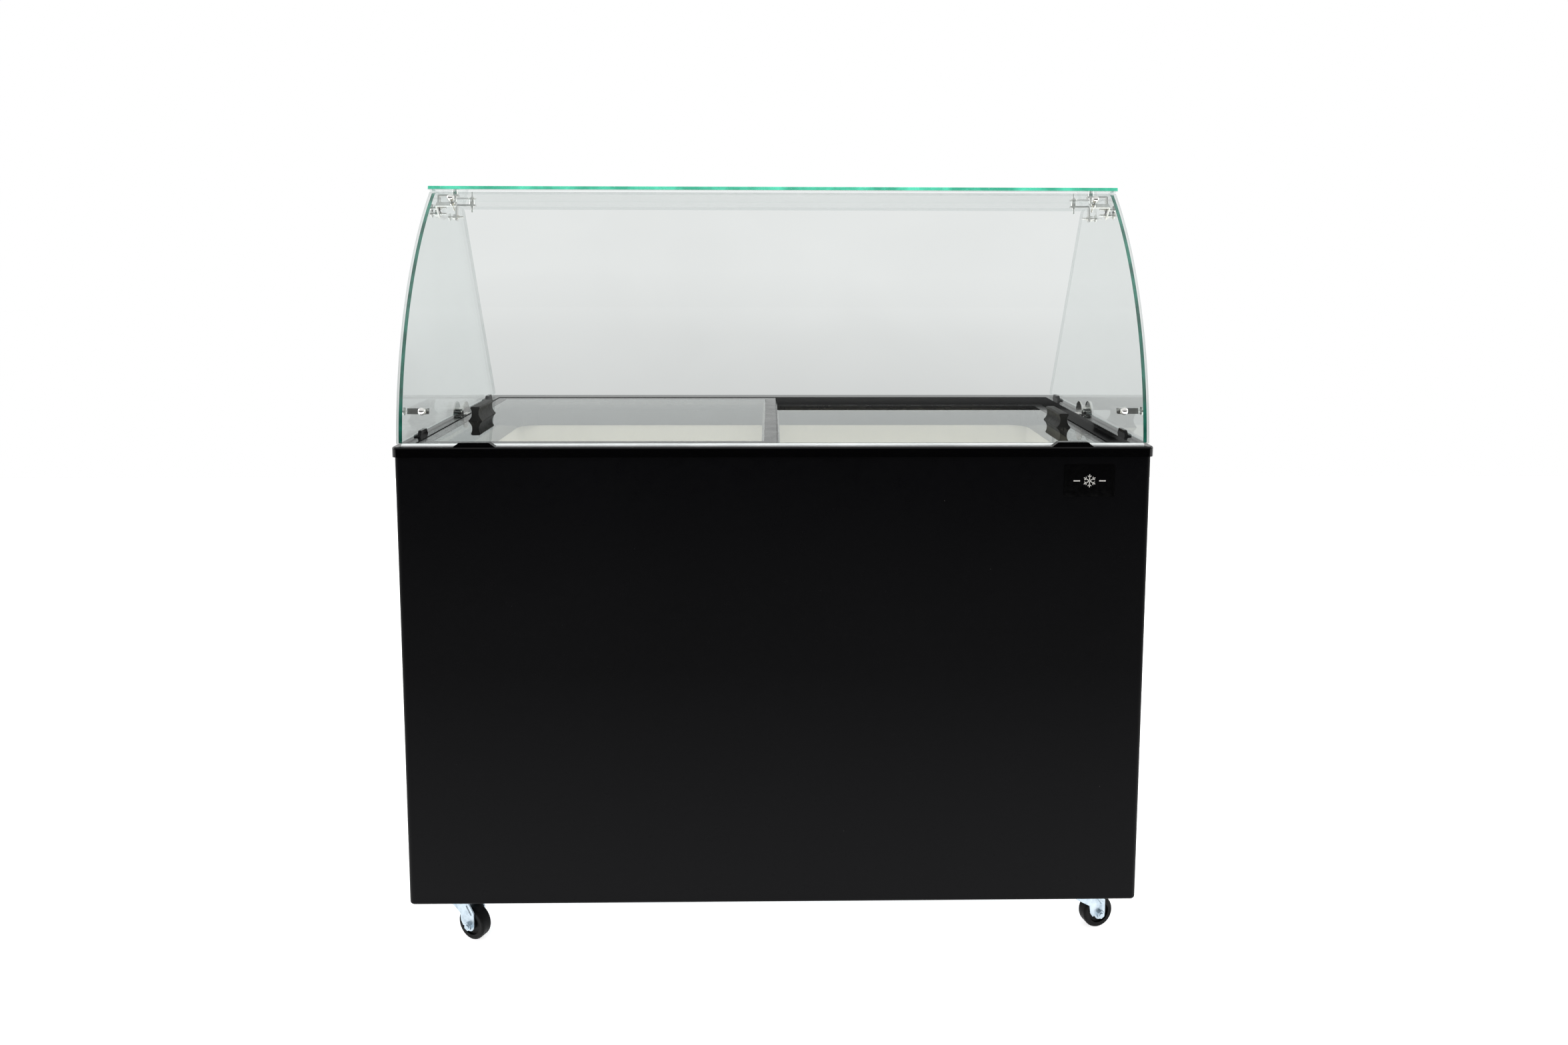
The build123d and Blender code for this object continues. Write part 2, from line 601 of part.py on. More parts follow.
def caster_plate():
    """Top plate, ball race housing and kingpin, about the swivel axis."""
    plate = Pos(0, 0, CASTER_HEIGHT - 1.25) * Box(60, 60, 2.5)
    plate = fillet(plate.edges().filter_by(Axis.Z), 6)
    race = Cone(19.5, 22.5, 6.5, align=(Align.CENTER, Align.CENTER, Align.MIN))
    shape = plate + Pos(0, 0, CROWN_TOP + 1) * race
    shape += rod((0, 0, CROWN_BOTTOM - 2.5), (0, 0, CASTER_HEIGHT - 1), 5)
    shape += rod((0, 0, CROWN_BOTTOM - 3), (0, 0, CROWN_BOTTOM - 0.5), 8)
    for x in (-23, 23):
        for y in (-23, 23):
            shape -= rod((x, y, 70), (x, y, 81), 3.2)
    return shape


def caster_screws():
    """Four hex screws for one caster, up into the base."""
    screws = []
    for x in (-23, 23):
        for y in (-23, 23):
            head_z = CASTER_HEIGHT - 2.5 - 4
            head = Pos(x, y, head_z) * extrude(RegularPolygon(5.2, 6), 4)
            screws.append(head + rod((x, y, head_z + 1), (x, y, CASTER_HEIGHT), 3))
    return Compound(children=screws)


def caster_fork():
    """Pressed fork: a crown with a kingpin hole and two shaped side plates."""
    crown = rod((0, 0, CROWN_BOTTOM), (0, 0, CROWN_TOP), 23)
    half = FORK_INNER + FORK_SHEET
    crown += box((-6, 26), (-half, half), (CROWN_BOTTOM, CROWN_TOP))
    outline = [
        (-21, CROWN_TOP - 1),
        (-21, CROWN_BOTTOM - 3),
        (6, 46),
        (8, 32),
        (13, 24.5),
        (TRAIL, WHEEL_R),
        (TRAIL + 10.5, WHEEL_R),
        (TRAIL + 10.5, 52),
        (26, CROWN_BOTTOM + 1),
        (26, CROWN_TOP - 1),
    ]
    cheek = extrude(
        Plane(origin=(0, half, 0), x_dir=(1, 0, 0), z_dir=(0, -1, 0))
        * make_face(Polyline(*outline, close=True)),
        FORK_SHEET,
    )
    cheek += rod((TRAIL, FORK_INNER, WHEEL_R), (TRAIL, half, WHEEL_R), 10.5)
    rib = rod((20, half - 1, 62), (31, half - 1, 47), 2.6) & box((0, 50), (half - 1, half + 1.4), (0, 80))
    cheek += rib
    fork = crown + cheek + mirror(cheek, Plane.XZ)
    fork -= rod((0, 0, CROWN_BOTTOM - 5), (0, 0, CROWN_TOP + 1), 5 + RUNNING)
    return fork - rod((TRAIL, -half - 5, WHEEL_R), (TRAIL, half + 5, WHEEL_R), AXLE_R)


def caster_wheel():
    """Solid wheel with a crowned tread, a recessed disc and a hub."""
    half = WHEEL_WIDTH / 2
    wheel = rod((TRAIL, -half, WHEEL_R), (TRAIL, half, WHEEL_R), WHEEL_R)
    wheel = fillet(wheel.edges().filter_by(GeomType.CIRCLE), 4.5)
    for side in (-1, 1):
        outer = rod((TRAIL, side * half, WHEEL_R), (TRAIL, side * (half - 3), WHEEL_R), 19)
        inner = rod((TRAIL, side * (half + 1), WHEEL_R), (TRAIL, side * (half - 4), WHEEL_R), 9.5)
        wheel -= outer - inner
    wheel += rod((TRAIL, -FORK_INNER + 0.4, WHEEL_R), (TRAIL, FORK_INNER - 0.4, WHEEL_R), 8)
    return wheel - rod((TRAIL, -20, WHEEL_R), (TRAIL, 20, WHEEL_R), AXLE_R + RUNNING)


def caster_axle():
    """Axle bolt with a hex head, a lock nut and a short threaded end."""
    half = FORK_INNER + FORK_SHEET
    bolt = rod((TRAIL, -half - 7.5, WHEEL_R), (TRAIL, half, WHEEL_R), AXLE_R)
    hexagon = RegularPolygon(7.2, 6)
    nut = extrude(Plane(origin=(TRAIL, -half, WHEEL_R), z_dir=(0, -1, 0)) * hexagon, 5.5)
    head = extrude(Plane(origin=(TRAIL, half, WHEEL_R), z_dir=(0, 1, 0)) * hexagon, 4.5)
    return bolt + head + nut


def casters():
    """Four casters, each at its own swivel angle."""
    plates, screws = [], []
    fork, wheel, axle = caster_fork(), caster_wheel(), caster_axle()
    for name, (side_x, side_y, angle) in CASTER_ANGLES.items():
        square = caster_place(side_x, side_y, 0)
        turned = caster_place(side_x, side_y, angle)
        plates.append(square * caster_plate())
        screws.append(square * caster_screws())
        save(turned * fork, f"caster_{name}_fork")
        save(turned * wheel, f"caster_{name}_wheel")
        save(turned * axle, f"caster_{name}_axle")
    save(Compound(children=plates), "caster_plates")
    save(Compound(children=screws), "caster_screws")


# ---------------------------------------------------------------- machine bay


def compressor():
    """Welded hermetic shell with a seam, a mounting plate, stubs and a relay box."""
    x, y, r = COMPRESSOR_X, COMPRESSOR_Y, COMPRESSOR_R
    low = FOAM_BOTTOM + 14
    shell = Pos(x, y, low + 85) * Cylinder(r, 170)
    shell = fillet(shell.edges().filter_by(GeomType.CIRCLE), 32)
    shape = shell + Pos(x, y, low + 95) * Cylinder(r + 4, 6)
    plate = box((x - 100, x + 100), (y - 60, y + 60), (low, low + 3))
    plate = fillet(plate.edges().filter_by(Axis.Z), 10)
    for dx in (-85, 85):
        for dy in (-45, 45):
            plate -= rod((x + dx, y + dy, low - 5), (x + dx, y + dy, low + 10), 8)
    shape += plate
    relay = box((x + r - 14, x + r + 32), (y - 30, y + 30), (low + 30, low + 84))
    relay = fillet(relay.edges().filter_by(Axis.X), 6)
    shape += relay
    for dx in (-30, 30):
        shape += rod((x + dx, y, low + 150), (x + dx, y, low + 195), 5)
    return shape


def compressor_feet():
    """Four rubber grommets between the base pan and the compressor's plate."""
    feet = []
    low, plate_low = FOAM_BOTTOM, FOAM_BOTTOM + 14
    for dx in (-85, 85):
        for dy in (-45, 45):
            at = (COMPRESSOR_X + dx, COMPRESSOR_Y + dy)
            foot = rod((*at, low), (*at, plate_low), 12) + rod((*at, low + 2), (*at, plate_low + 3), 8)
            feet.append(foot + rod((*at, plate_low + 3), (*at, plate_low + 7), 11))
    return Compound(children=feet)


def condenser_coil():
    """Serpentine pipe through a pack of upright fins, behind the rear grille."""
    y, low, pitch, passes, pipe_r = 280.0, 112.0, 26.0, 8, 4.0
    x0, x1 = 360.0, 590.0
    points = []
    for number in range(passes):
        z = low + pitch * number
        ends = [(x1, y, z), (x0, y, z)]
        points += ends if number % 2 == 0 else ends[::-1]
    path_r = pitch / 2 - 0.6
    coil = tube(points, path_r, pipe_r)
    for number in range(12):
        x = x0 + 20 + number * (x1 - x0 - 40) / 11
        coil += box((x - 0.6, x + 0.6), (y - 12, y + 12), (low - 8, low + pitch * (passes - 1) + 8))
    return coil


def fan():
    """Fan shroud, motor on three arms, and the blade that turns on the motor's shaft."""
    x, z = FAN_X, FAN_Z
    wall = (248.0, 262.0)
    plate = box((x - 98, x + 98), (wall[1] - 2, wall[1]), (z - 98, z + 98))
    shroud = plate + rod((x, wall[0], z), (x, wall[1], z), FAN_R + 5)
    shroud -= rod((x, wall[0] - 1, z), (x, wall[1] + 1, z), FAN_R + 2)
    for corner_x in (-88, 88):
        leg = (x + corner_x - 8, x + corner_x + 8)
        shroud += box(leg, (wall[1] - 2, wall[1]), (FOAM_BOTTOM, z - 95))
    motor_y = (165.0, 215.0)
    for turn in (90, 210, 330):
        dx, dz = math.cos(math.radians(turn)), math.sin(math.radians(turn))
        rim = (x + dx * (FAN_R + 3.5), wall[0] + 1, z + dz * (FAN_R + 3.5))
        bend = (x + dx * (FAN_R + 3.5), motor_y[1] - 12, z + dz * (FAN_R + 3.5))
        hub = (x + dx * 30, motor_y[1] - 12, z + dz * 30)
        shroud += rod(rim, bend, 2.5) + Pos(*bend) * Sphere(2.5) + rod(bend, hub, 2.5)
    shroud += rod((x, motor_y[1] - 16, z), (x, motor_y[1] - 8, z), 36)
    shroud -= rod((x, motor_y[0] - 1, z), (x, motor_y[1] + 1, z), 32)
    save(shroud, "fan_shroud")
    motor = rod((x, motor_y[0], z), (x, motor_y[1], z), 32)
    motor = fillet(motor.edges().filter_by(GeomType.CIRCLE), 5)
    motor += rod((x, motor_y[1] - 1, z), (x, 246, z), 3)
    save(motor, "fan_motor")
    blade = rod((x, 222, z), (x, 244, z), 20)
    for number in range(5):
        vane = Box(FAN_R - 18, 2.0, 34, align=(Align.MIN, Align.CENTER, Align.CENTER))
        vane = Pos(17, 0, 0) * Rot(35, 0, 0) * vane
        blade += Pos(x, 233, z) * Rot(0, 72 * number, 0) * vane
    blade &= rod((x, 218, z), (x, 247, z), FAN_R - 2)
    blade -= rod((x, 200, z), (x, 260, z), 3 + RUNNING)
    save(blade, "fan_blade")


def filter_drier():
    """Copper drier with drawn-in ends, in line below the evaporator's inlet."""
    x, y, z = 450.0, TANK_Y + LINER + 20, 322.0
    body = rod((x, y, z), (x, y, z + 25), 9)
    body = fillet(body.edges().filter_by(GeomType.CIRCLE), 5)
    return body + rod((x, y, z + 23), (x, y, BAY_TOP - 30), 3) + rod((x, y, z - 6), (x, y, z + 2), 3)


def refrigerant_pipes():
    """Suction, discharge and liquid pipes between the compressor, the condenser and the drier."""
    top = FOAM_BOTTOM + 14 + 195
    y_coil = TANK_Y + LINER + 6
    suction = tube(
        [
            (COMPRESSOR_X - 30, COMPRESSOR_Y, top),
            (COMPRESSOR_X - 30, COMPRESSOR_Y, top + 50),
            (400, 130, top + 50),
            (400, y_coil, top + 30),
            (400, y_coil, BAY_TOP - 30),
        ],
        [20, 20, 8],
        4,
    )
    discharge = tube(
        [
            (COMPRESSOR_X + 30, COMPRESSOR_Y, top),
            (COMPRESSOR_X + 30, COMPRESSOR_Y, top + 35),
            (612, 120, top + 35),
            (612, 280, top + 35),
            (612, 280, 112),
            (590, 280, 112),
        ],
        [20, 20, 20, 8],
        3,
    )
    y_drier = TANK_Y + LINER + 20
    liquid = tube(
        [
            (590, 280, 294),
            (603, 280, 294),
            (603, 280, 306),
            (603, y_drier, 306),
            (450, y_drier, 306),
            (450, y_drier, 316),
        ],
        [5, 5, 6, 5],
        3,
    )
    return Compound(children=[suction, discharge, liquid])


def rear_grille():
    """Pressed grille with rows of slots and folded louvre hoods."""
    y = (BODY_Y - SHEET, BODY_Y + 1.2)
    sheet = box((GRILLE_X[0] - 8, GRILLE_X[1] + 8), y, (GRILLE_Z[0] - 8, GRILLE_Z[1] + 5))
    sheet = fillet(sheet.edges().filter_by(Axis.Y), 5)
    rows, pitch, slot = 13, 15.5, 7.0
    first = (GRILLE_Z[0] + GRILLE_Z[1] - pitch * (rows - 1)) / 2
    for row in range(rows):
        z = first + row * pitch
        for x in ((GRILLE_X[0] + 12, 469.0), (481.0, GRILLE_X[1] - 12)):
            sheet -= box(x, (BODY_Y - 5, BODY_Y + 5), (z - slot / 2, z + slot / 2))
            hood = [(y[1] - 0.5, z + slot / 2 + 0.2), (y[1] + 2.0, z + 0.5), (y[1] + 2.0, z - 0.8),
                    (y[1] - 0.5, z + slot / 2 - 1.4)]
            sheet += prism_x(hood, x)
    return sheet


def control_panel():
    """Recessed tray for the thermostat, lamp and cable gland."""
    face = (BODY_Y - 16.0, BODY_Y - 14.0)
    x, z = GRILLE_X, PANEL_Z
    tray = box((x[0] + 0.3, x[1] - 0.3), (face[0], BODY_Y - SHEET), (z[0] + 0.3, z[1] - 0.3))
    tray -= box((x[0] + 2.3, x[1] - 2.3), (face[1], BODY_Y + 1), (z[0] + 2.3, z[1] - 2.3))
    lip = box((x[0] - 7, x[1] + 7), (BODY_Y - SHEET, BODY_Y + 1.2), (z[0] - 5, z[1] + 7))
    lip = fillet(lip.edges().filter_by(Axis.Y), 4)
    lip -= box((x[0] + 2.3, x[1] - 2.3), (face[1], BODY_Y + 3), (z[0] + 2.3, z[1] - 2.3))
    tray += lip
    tray -= rod((KNOB_X, 280, KNOB_Z), (KNOB_X, 310, KNOB_Z), 5)
    tray -= rod((LAMP_X, 280, KNOB_Z), (LAMP_X, 310, KNOB_Z), 5)
    return tray - rod((GLAND_X, 280, KNOB_Z), (GLAND_X, 310, KNOB_Z), 8)


def thermostat():
    """Thermostat body behind the panel with its spindle, and the knob on the spindle."""
    face = BODY_Y - 16.0
    case = box((KNOB_X - 20, KNOB_X + 20), (face - 28, face), (KNOB_Z - 17, KNOB_Z + 17))
    case = fillet(case.edges().filter_by(Axis.Y), 3)
    case += rod((KNOB_X, face - 1, KNOB_Z), (KNOB_X, face + 12, KNOB_Z), 3)
    save(case, "thermostat_body")
    knob = rod((KNOB_X, face + 3, KNOB_Z), (KNOB_X, face + 16, KNOB_Z), KNOB_R)
    knob = fillet(knob.edges().filter_by(GeomType.CIRCLE).sort_by(Axis.Y)[-1], 2)
    for number in range(20):
        turn = math.radians(18 * number)
        dx, dz = (KNOB_R + 0.6) * math.cos(turn), (KNOB_R + 0.6) * math.sin(turn)
        start = (KNOB_X + dx, face + 6, KNOB_Z + dz)
        knob -= rod(start, (start[0], face + 20, start[2]), 1.4)
    knob -= box((KNOB_X - 1, KNOB_X + 1), (face + 15, face + 20), (KNOB_Z + 3, KNOB_Z + 16))
    knob -= rod((KNOB_X, face, KNOB_Z), (KNOB_X, face + 12.5, KNOB_Z), 3 + RUNNING)
    save(knob, "thermostat_knob")


def pilot_lamp():
    """Round indicator lamp in the control panel."""
    face = BODY_Y - 14.0
    lamp = rod((LAMP_X, face - 14, KNOB_Z), (LAMP_X, face, KNOB_Z), 4.9)
    return lamp + rod((LAMP_X, face, KNOB_Z), (LAMP_X, face + 4, KNOB_Z), 7)


def cable_gland():
    """Gland with a nut and a hole for the supply cord."""
    face = BODY_Y - 14.0
    body = rod((GLAND_X, face - 12, KNOB_Z), (GLAND_X, face, KNOB_Z), 7.9)
    nut = extrude(Plane(origin=(GLAND_X, face, KNOB_Z), z_dir=(0, 1, 0)) * RegularPolygon(12, 6), 5)
    dome = rod((GLAND_X, face + 5, KNOB_Z), (GLAND_X, face + 14, KNOB_Z), 8)
    dome = fillet(dome.edges().filter_by(GeomType.CIRCLE).sort_by(Axis.Y)[-1], 3)
    return body + nut + dome - rod((GLAND_X, face - 15, KNOB_Z), (GLAND_X, face + 20, KNOB_Z), 4)


def drain():
    """Drain tube from the tank's floor to the base, and its plug."""
    at = (DRAIN_X, DRAIN_Y)
    pipe = rod((*at, BODY_BOTTOM - 4), (*at, TANK_FLOOR), DRAIN_OUTER)
    pipe -= rod((*at, BODY_BOTTOM - 5), (*at, TANK_FLOOR + 1), DRAIN_INNER)
    save(pipe, "drain_tube")
    plug = rod((*at, TANK_FLOOR - 14), (*at, TANK_FLOOR + 0.5), DRAIN_INNER - RUNNING)
    plug += rod((*at, TANK_FLOOR + 0.2), (*at, TANK_FLOOR + 3.2), 14)
    loop = Pos(*at, TANK_FLOOR + 7) * Rot(90, 0, 0) * Torus(6, 1.6)
    save(plug + loop, "drain_plug")


def badge_plate():
    """Thin name plate near the top right of the front."""
    plate = box((482.5, 567.5), (-BODY_Y - 1.2, -BODY_Y), (795.0, 849.0))
    return fillet(plate.edges().filter_by(Axis.Y), 2)


save(outer_wrap(), "outer_wrap")
save(back_panel(), "back_panel")
save(base_pan(), "base_pan")
save(inner_liner(), "inner_liner")
save(foam_insulation(), "foam_insulation")
save(evaporator_coil(), "evaporator_coil")
top_frame()
lids()
save(side_glass(), "side_glass_right")
save(mirror(side_glass(), Plane.YZ), "side_glass_left")
save(front_glass(), "front_glass")
save(top_glass(), "top_glass")
glass_fittings()
glass_clamps()
save(side_glass_clips(), "side_glass_clips")
save(front_glass_shoes(), "front_glass_shoes")
save(front_glass_seal(), "front_glass_seal")
casters()
save(compressor(), "compressor")
save(compressor_feet(), "compressor_feet")
save(condenser_coil(), "condenser_coil")
fan()
save(filter_drier(), "filter_drier")
save(refrigerant_pipes(), "refrigerant_pipes")
save(rear_grille(), "rear_grille")
save(control_panel(), "control_panel")
thermostat()
save(pilot_lamp(), "pilot_lamp")
save(cable_gland(), "cable_gland")
drain()
save(badge_plate(), "badge_plate")
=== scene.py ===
"""Looks for the chest freezer: finishes, glass panes, small fittings, studio light and camera."""

import json
import math

import bmesh
import bpy
from mathutils import Matrix, Vector


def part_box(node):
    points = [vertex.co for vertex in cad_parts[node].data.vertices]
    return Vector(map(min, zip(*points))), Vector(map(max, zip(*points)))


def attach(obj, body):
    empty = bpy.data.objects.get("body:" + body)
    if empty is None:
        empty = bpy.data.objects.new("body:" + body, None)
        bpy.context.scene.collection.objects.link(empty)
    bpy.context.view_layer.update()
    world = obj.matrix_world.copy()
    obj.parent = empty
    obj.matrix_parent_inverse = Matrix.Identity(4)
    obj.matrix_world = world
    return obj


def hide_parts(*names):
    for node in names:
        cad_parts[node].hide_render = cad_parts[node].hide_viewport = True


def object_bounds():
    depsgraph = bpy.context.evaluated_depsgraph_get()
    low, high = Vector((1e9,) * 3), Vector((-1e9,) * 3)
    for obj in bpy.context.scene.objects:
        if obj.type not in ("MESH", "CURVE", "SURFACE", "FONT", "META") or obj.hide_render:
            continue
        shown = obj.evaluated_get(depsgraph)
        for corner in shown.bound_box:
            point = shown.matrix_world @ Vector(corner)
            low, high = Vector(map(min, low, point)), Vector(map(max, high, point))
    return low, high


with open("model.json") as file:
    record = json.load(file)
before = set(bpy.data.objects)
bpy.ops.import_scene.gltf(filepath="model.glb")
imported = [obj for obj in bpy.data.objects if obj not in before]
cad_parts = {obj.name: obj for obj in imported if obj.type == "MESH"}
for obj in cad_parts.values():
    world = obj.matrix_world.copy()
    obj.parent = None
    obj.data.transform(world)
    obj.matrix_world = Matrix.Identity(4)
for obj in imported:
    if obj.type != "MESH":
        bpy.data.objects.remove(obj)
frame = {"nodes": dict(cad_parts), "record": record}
cad_low, cad_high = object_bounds()
nodes = frame["nodes"]

# lengths in metres, angles in radians; the canopy's match the CAD's
MM = 0.001
CURVE_Y, CURVE_Z = 0.328, 0.840
FRONT_RADIUS = 0.625
GLASS = 0.006
ROOF_SLOPE = math.radians(7.2)
SIDE_TOP_FRONT_Y, SIDE_TOP_BACK_Y = -0.077, 0.105
EDGE_CUT = 0.5 * MM
PRINT_DEPTH = 0.15 * MM
TICK_DEPTH = 0.1 * MM
PANEL_RECESS = 15.2 * MM
KNOB_TRAVEL = math.radians(270)
FLOOR_REACH, FLOOR_BACK = 12.0, 3.4
CARD_Y, CARD_REACH, CARD_TOP = -2.9, 9.0, 4.0
CAMERA_PLACE = (-0.008, -2.001, 1.206)
CAMERA_PITCH, CAMERA_YAW, CAMERA_ROLL = math.radians(5.53), math.radians(0.92), math.radians(0.12)


# ---------------------------------------------------------------- node graphs


class Look:
    """One material and the few kinds of texture that the finishes are built from."""

    def __init__(self, name, roughness=0.5, metallic=0.0, specular=0.5):
        self.material = bpy.data.materials.new(name)
        self.material.use_nodes = True
        self.tree = self.material.node_tree
        self.shader = self.tree.nodes["Principled BSDF"]
        self.output = self.tree.nodes["Material Output"]
        self.feed("Roughness", roughness)
        self.feed("Metallic", metallic)
        self.feed("Specular IOR Level", specular)
        self.feed("IOR", 1.5)
        self.place = self.tree.nodes.new("ShaderNodeTexCoord").outputs["Object"]

    def feed(self, socket, value):
        """Sets one of the shader's sockets to a number, a colour or another node's output."""
        self.join(self.shader.inputs[socket], value)

    def show(self, shader):
        """Shows another shader instead of the principled one."""
        self.tree.nodes.remove(self.shader)
        self.tree.links.new(shader.outputs[0], self.output.inputs["Surface"])

    def join(self, socket, value):
        """Links a socket to another node's output, or sets it to a number or a colour."""
        if isinstance(value, bpy.types.NodeSocket):
            self.tree.links.new(value, socket)
        elif isinstance(value, tuple) and len(value) == 3 and socket.type == "RGBA":
            socket.default_value = (*value, 1.0)
        else:
            socket.default_value = value

    def node(self, kind, inputs, **options):
        """A new node with its inputs joined and its options set."""
        made = self.tree.nodes.new(kind)
        for name, value in options.items():
            setattr(made, name, value)
        for name, value in inputs.items():
            self.join(made.inputs[name], value)
        return made

    def height(self):
        """Height above the piece's origin."""
        return self.node("ShaderNodeSeparateXYZ", {"Vector": self.place}).outputs["Z"]

    def stretched(self, stretch):
        """The piece's coordinates, each multiplied: a large number makes a texture short that way."""
        if stretch == (1, 1, 1):
            return self.place
        return self.node("ShaderNodeMapping", {"Vector": self.place, "Scale": stretch}).outputs["Vector"]

    def noise(self, scale, detail=2.0, stretch=(1, 1, 1), distortion=0.0):
        made = self.node(
            "ShaderNodeTexNoise",
            {"Vector": self.stretched(stretch), "Scale": scale, "Detail": detail, "Distortion": distortion},
        )
        return made.outputs["Fac"]

    def cells(self, scale, feature="F1", output="Distance"):
        inputs = {"Vector": self.place, "Scale": scale}
        return self.node("ShaderNodeTexVoronoi", inputs, feature=feature).outputs[output]

    def remap(self, source, low, high, to_low=0.0, to_high=1.0):
        inputs = {"Value": source, "From Min": low, "From Max": high, "To Min": to_low, "To Max": to_high}
        return self.node("ShaderNodeMapRange", inputs).outputs["Result"]

    def math(self, operation, first, second):
        made = self.tree.nodes.new("ShaderNodeMath")
        made.operation = operation
        self.join(made.inputs[0], first)
        self.join(made.inputs[1], second)
        return made.outputs[0]

    def mix(self, factor, first, second):
        made = self.tree.nodes.new("ShaderNodeMix")
        made.data_type = "RGBA"
        self.join(made.inputs[0], factor)
        self.join(made.inputs[6], first)
        self.join(made.inputs[7], second)
        return made.outputs[2]

    def bump(self, height, distance, strength=1.0, under=None):
        """Bumps the shader's normal, on top of another bump if one is given."""
        inputs = {"Height": height, "Distance": distance, "Strength": strength}
        if under is not None:
            inputs["Normal"] = under
        normal = self.node("ShaderNodeBump", inputs).outputs["Normal"]
        self.feed("Normal", normal)
        return normal

    def edge_wear(self, radius):
        """Bright on outer edges: how far a rounded normal leans from the true one."""
        rounded = self.node("ShaderNodeBevel", {"Radius": radius}, samples=4).outputs["Normal"]
        true_normal = self.tree.nodes.new("ShaderNodeNewGeometry").outputs["Normal"]
        made = self.tree.nodes.new("ShaderNodeVectorMath")
        made.operation = "DOT_PRODUCT"
        self.join(made.inputs[0], rounded)
        self.join(made.inputs[1], true_normal)
        return self.remap(made.outputs["Value"], 0.995, 0.85)


def moulded(
    name, colour, roughness, grain=1400.0, depth=0.02 * MM, specular=0.5, metallic=0.0, spread=0.25
):
    """A plain finish with fine grain, slow tone drift and a little dust."""
    look = Look(name, roughness, metallic, specular)
    drift = look.noise(9.0, 4.0)
    dark = tuple(c * (1 - spread) for c in colour)
    light = tuple(min(1.0, c * (1 + spread)) for c in colour)
    tone = look.mix(look.remap(drift, 0.3, 0.7), dark, light)
    dust = look.remap(look.noise(260.0, 3.0), 0.70, 0.82, 0.0, 0.10)
    look.feed("Base Color", look.mix(dust, tone, (0.35, 0.34, 0.32)))
    look.feed("Roughness", look.remap(look.noise(40.0, 4.0), 0.3, 0.7, roughness * 0.85, roughness * 1.18))
    look.bump(look.noise(grain, 2.0), depth)
    return look.material


# ---------------------------------------------------------------- finishes


def powder_coat():
    """Satin black sheet with a fine orange-peel skin, sparse bright specks and a painted lighter band
    towards the bottom that stands in for light bounced up from the floor.
    """
    look = Look("powder_coat", 0.3, specular=0.036)
    cloud = look.remap(look.noise(2.2, 4.0), 0.3, 0.7)
    base = look.mix(cloud, (0.0006, 0.0006, 0.0008), (0.0010, 0.0010, 0.0013))
    fleck = look.remap(look.noise(1500.0, 1.0), 0.55, 0.85, 0.0, 0.5)
    base = look.mix(fleck, base, (0.006, 0.006, 0.007))
    # painted light: the base turns lighter below half a metre, standing in for light bounced off the floor
    # onto the lower sheet
    base = look.mix(look.remap(look.height(), 0.50, 0.10), base, (0.0046, 0.0046, 0.0050))
    speck = look.remap(look.cells(90.0), 0.035, 0.02)
    keep = look.remap(look.noise(23.0, 1.0), 0.66, 0.70)
    base = look.mix(look.math("MULTIPLY", speck, keep), base, (0.30, 0.29, 0.27))
    look.feed("Base Color", base)
    look.feed("Roughness", look.remap(look.noise(60.0, 4.0), 0.3, 0.7, 0.27, 0.34))
    peel = look.bump(look.noise(420.0, 2.0), 0.03 * MM)
    look.bump(look.noise(2100.0, 1.0), 0.008 * MM, under=peel)
    return look.material


def gloss_black(name, roughness=0.08):
    """Moulded black plastic with a deep gloss, faint ripple and hairline scuffs."""
    look = Look(name, roughness, specular=0.22)
    drift = look.remap(look.noise(6.0, 3.0), 0.3, 0.7)
    base = look.mix(drift, (0.0003, 0.0003, 0.0004), (0.0006, 0.0006, 0.0007))
    dust = look.remap(look.noise(700.0, 3.0), 0.76, 0.86, 0.0, 0.05)
    look.feed("Base Color", look.mix(dust, base, (0.30, 0.29, 0.28)))
    scuff = look.remap(look.noise(90.0, 5.0, stretch=(1.0, 12.0, 3.0)), 0.52, 0.75, 0.0, 0.06)
    look.feed("Roughness", look.math("ADD", scuff, roughness))
    look.bump(look.noise(160.0, 2.0), 0.010 * MM)
    return look.material


def badge_film():
    """Glossy black film, a touch smoother and darker than the coat round it."""
    look = Look("badge_film", 0.10, specular=0.25)
    drift = look.remap(look.noise(40.0, 3.0), 0.3, 0.7)
    look.feed("Base Color", look.mix(drift, (0.0004, 0.0004, 0.0005), (0.0008, 0.0008, 0.0009)))
    look.feed("Roughness", look.remap(look.noise(150.0, 3.0), 0.3, 0.7, 0.08, 0.13))
    look.bump(look.noise(300.0, 2.0), 0.004 * MM)
    return look.material


def lid_profile():
    """Dark extruded profile with fine streaks along its length."""
    look = Look("lid_profile", 0.26, specular=1.0)
    streak = look.remap(look.noise(180.0, 4.0, stretch=(1.0, 1.0, 14.0)), 0.3, 0.7)
    look.feed("Base Color", look.mix(streak, (0.011, 0.011, 0.011), (0.019, 0.019, 0.019)))
    look.feed("Roughness", look.remap(look.noise(35.0, 4.0), 0.3, 0.7, 0.20, 0.33))
    look.feed("Coat Weight", 0.35)
    look.bump(look.noise(900.0, 2.0), 0.008 * MM)
    return look.material


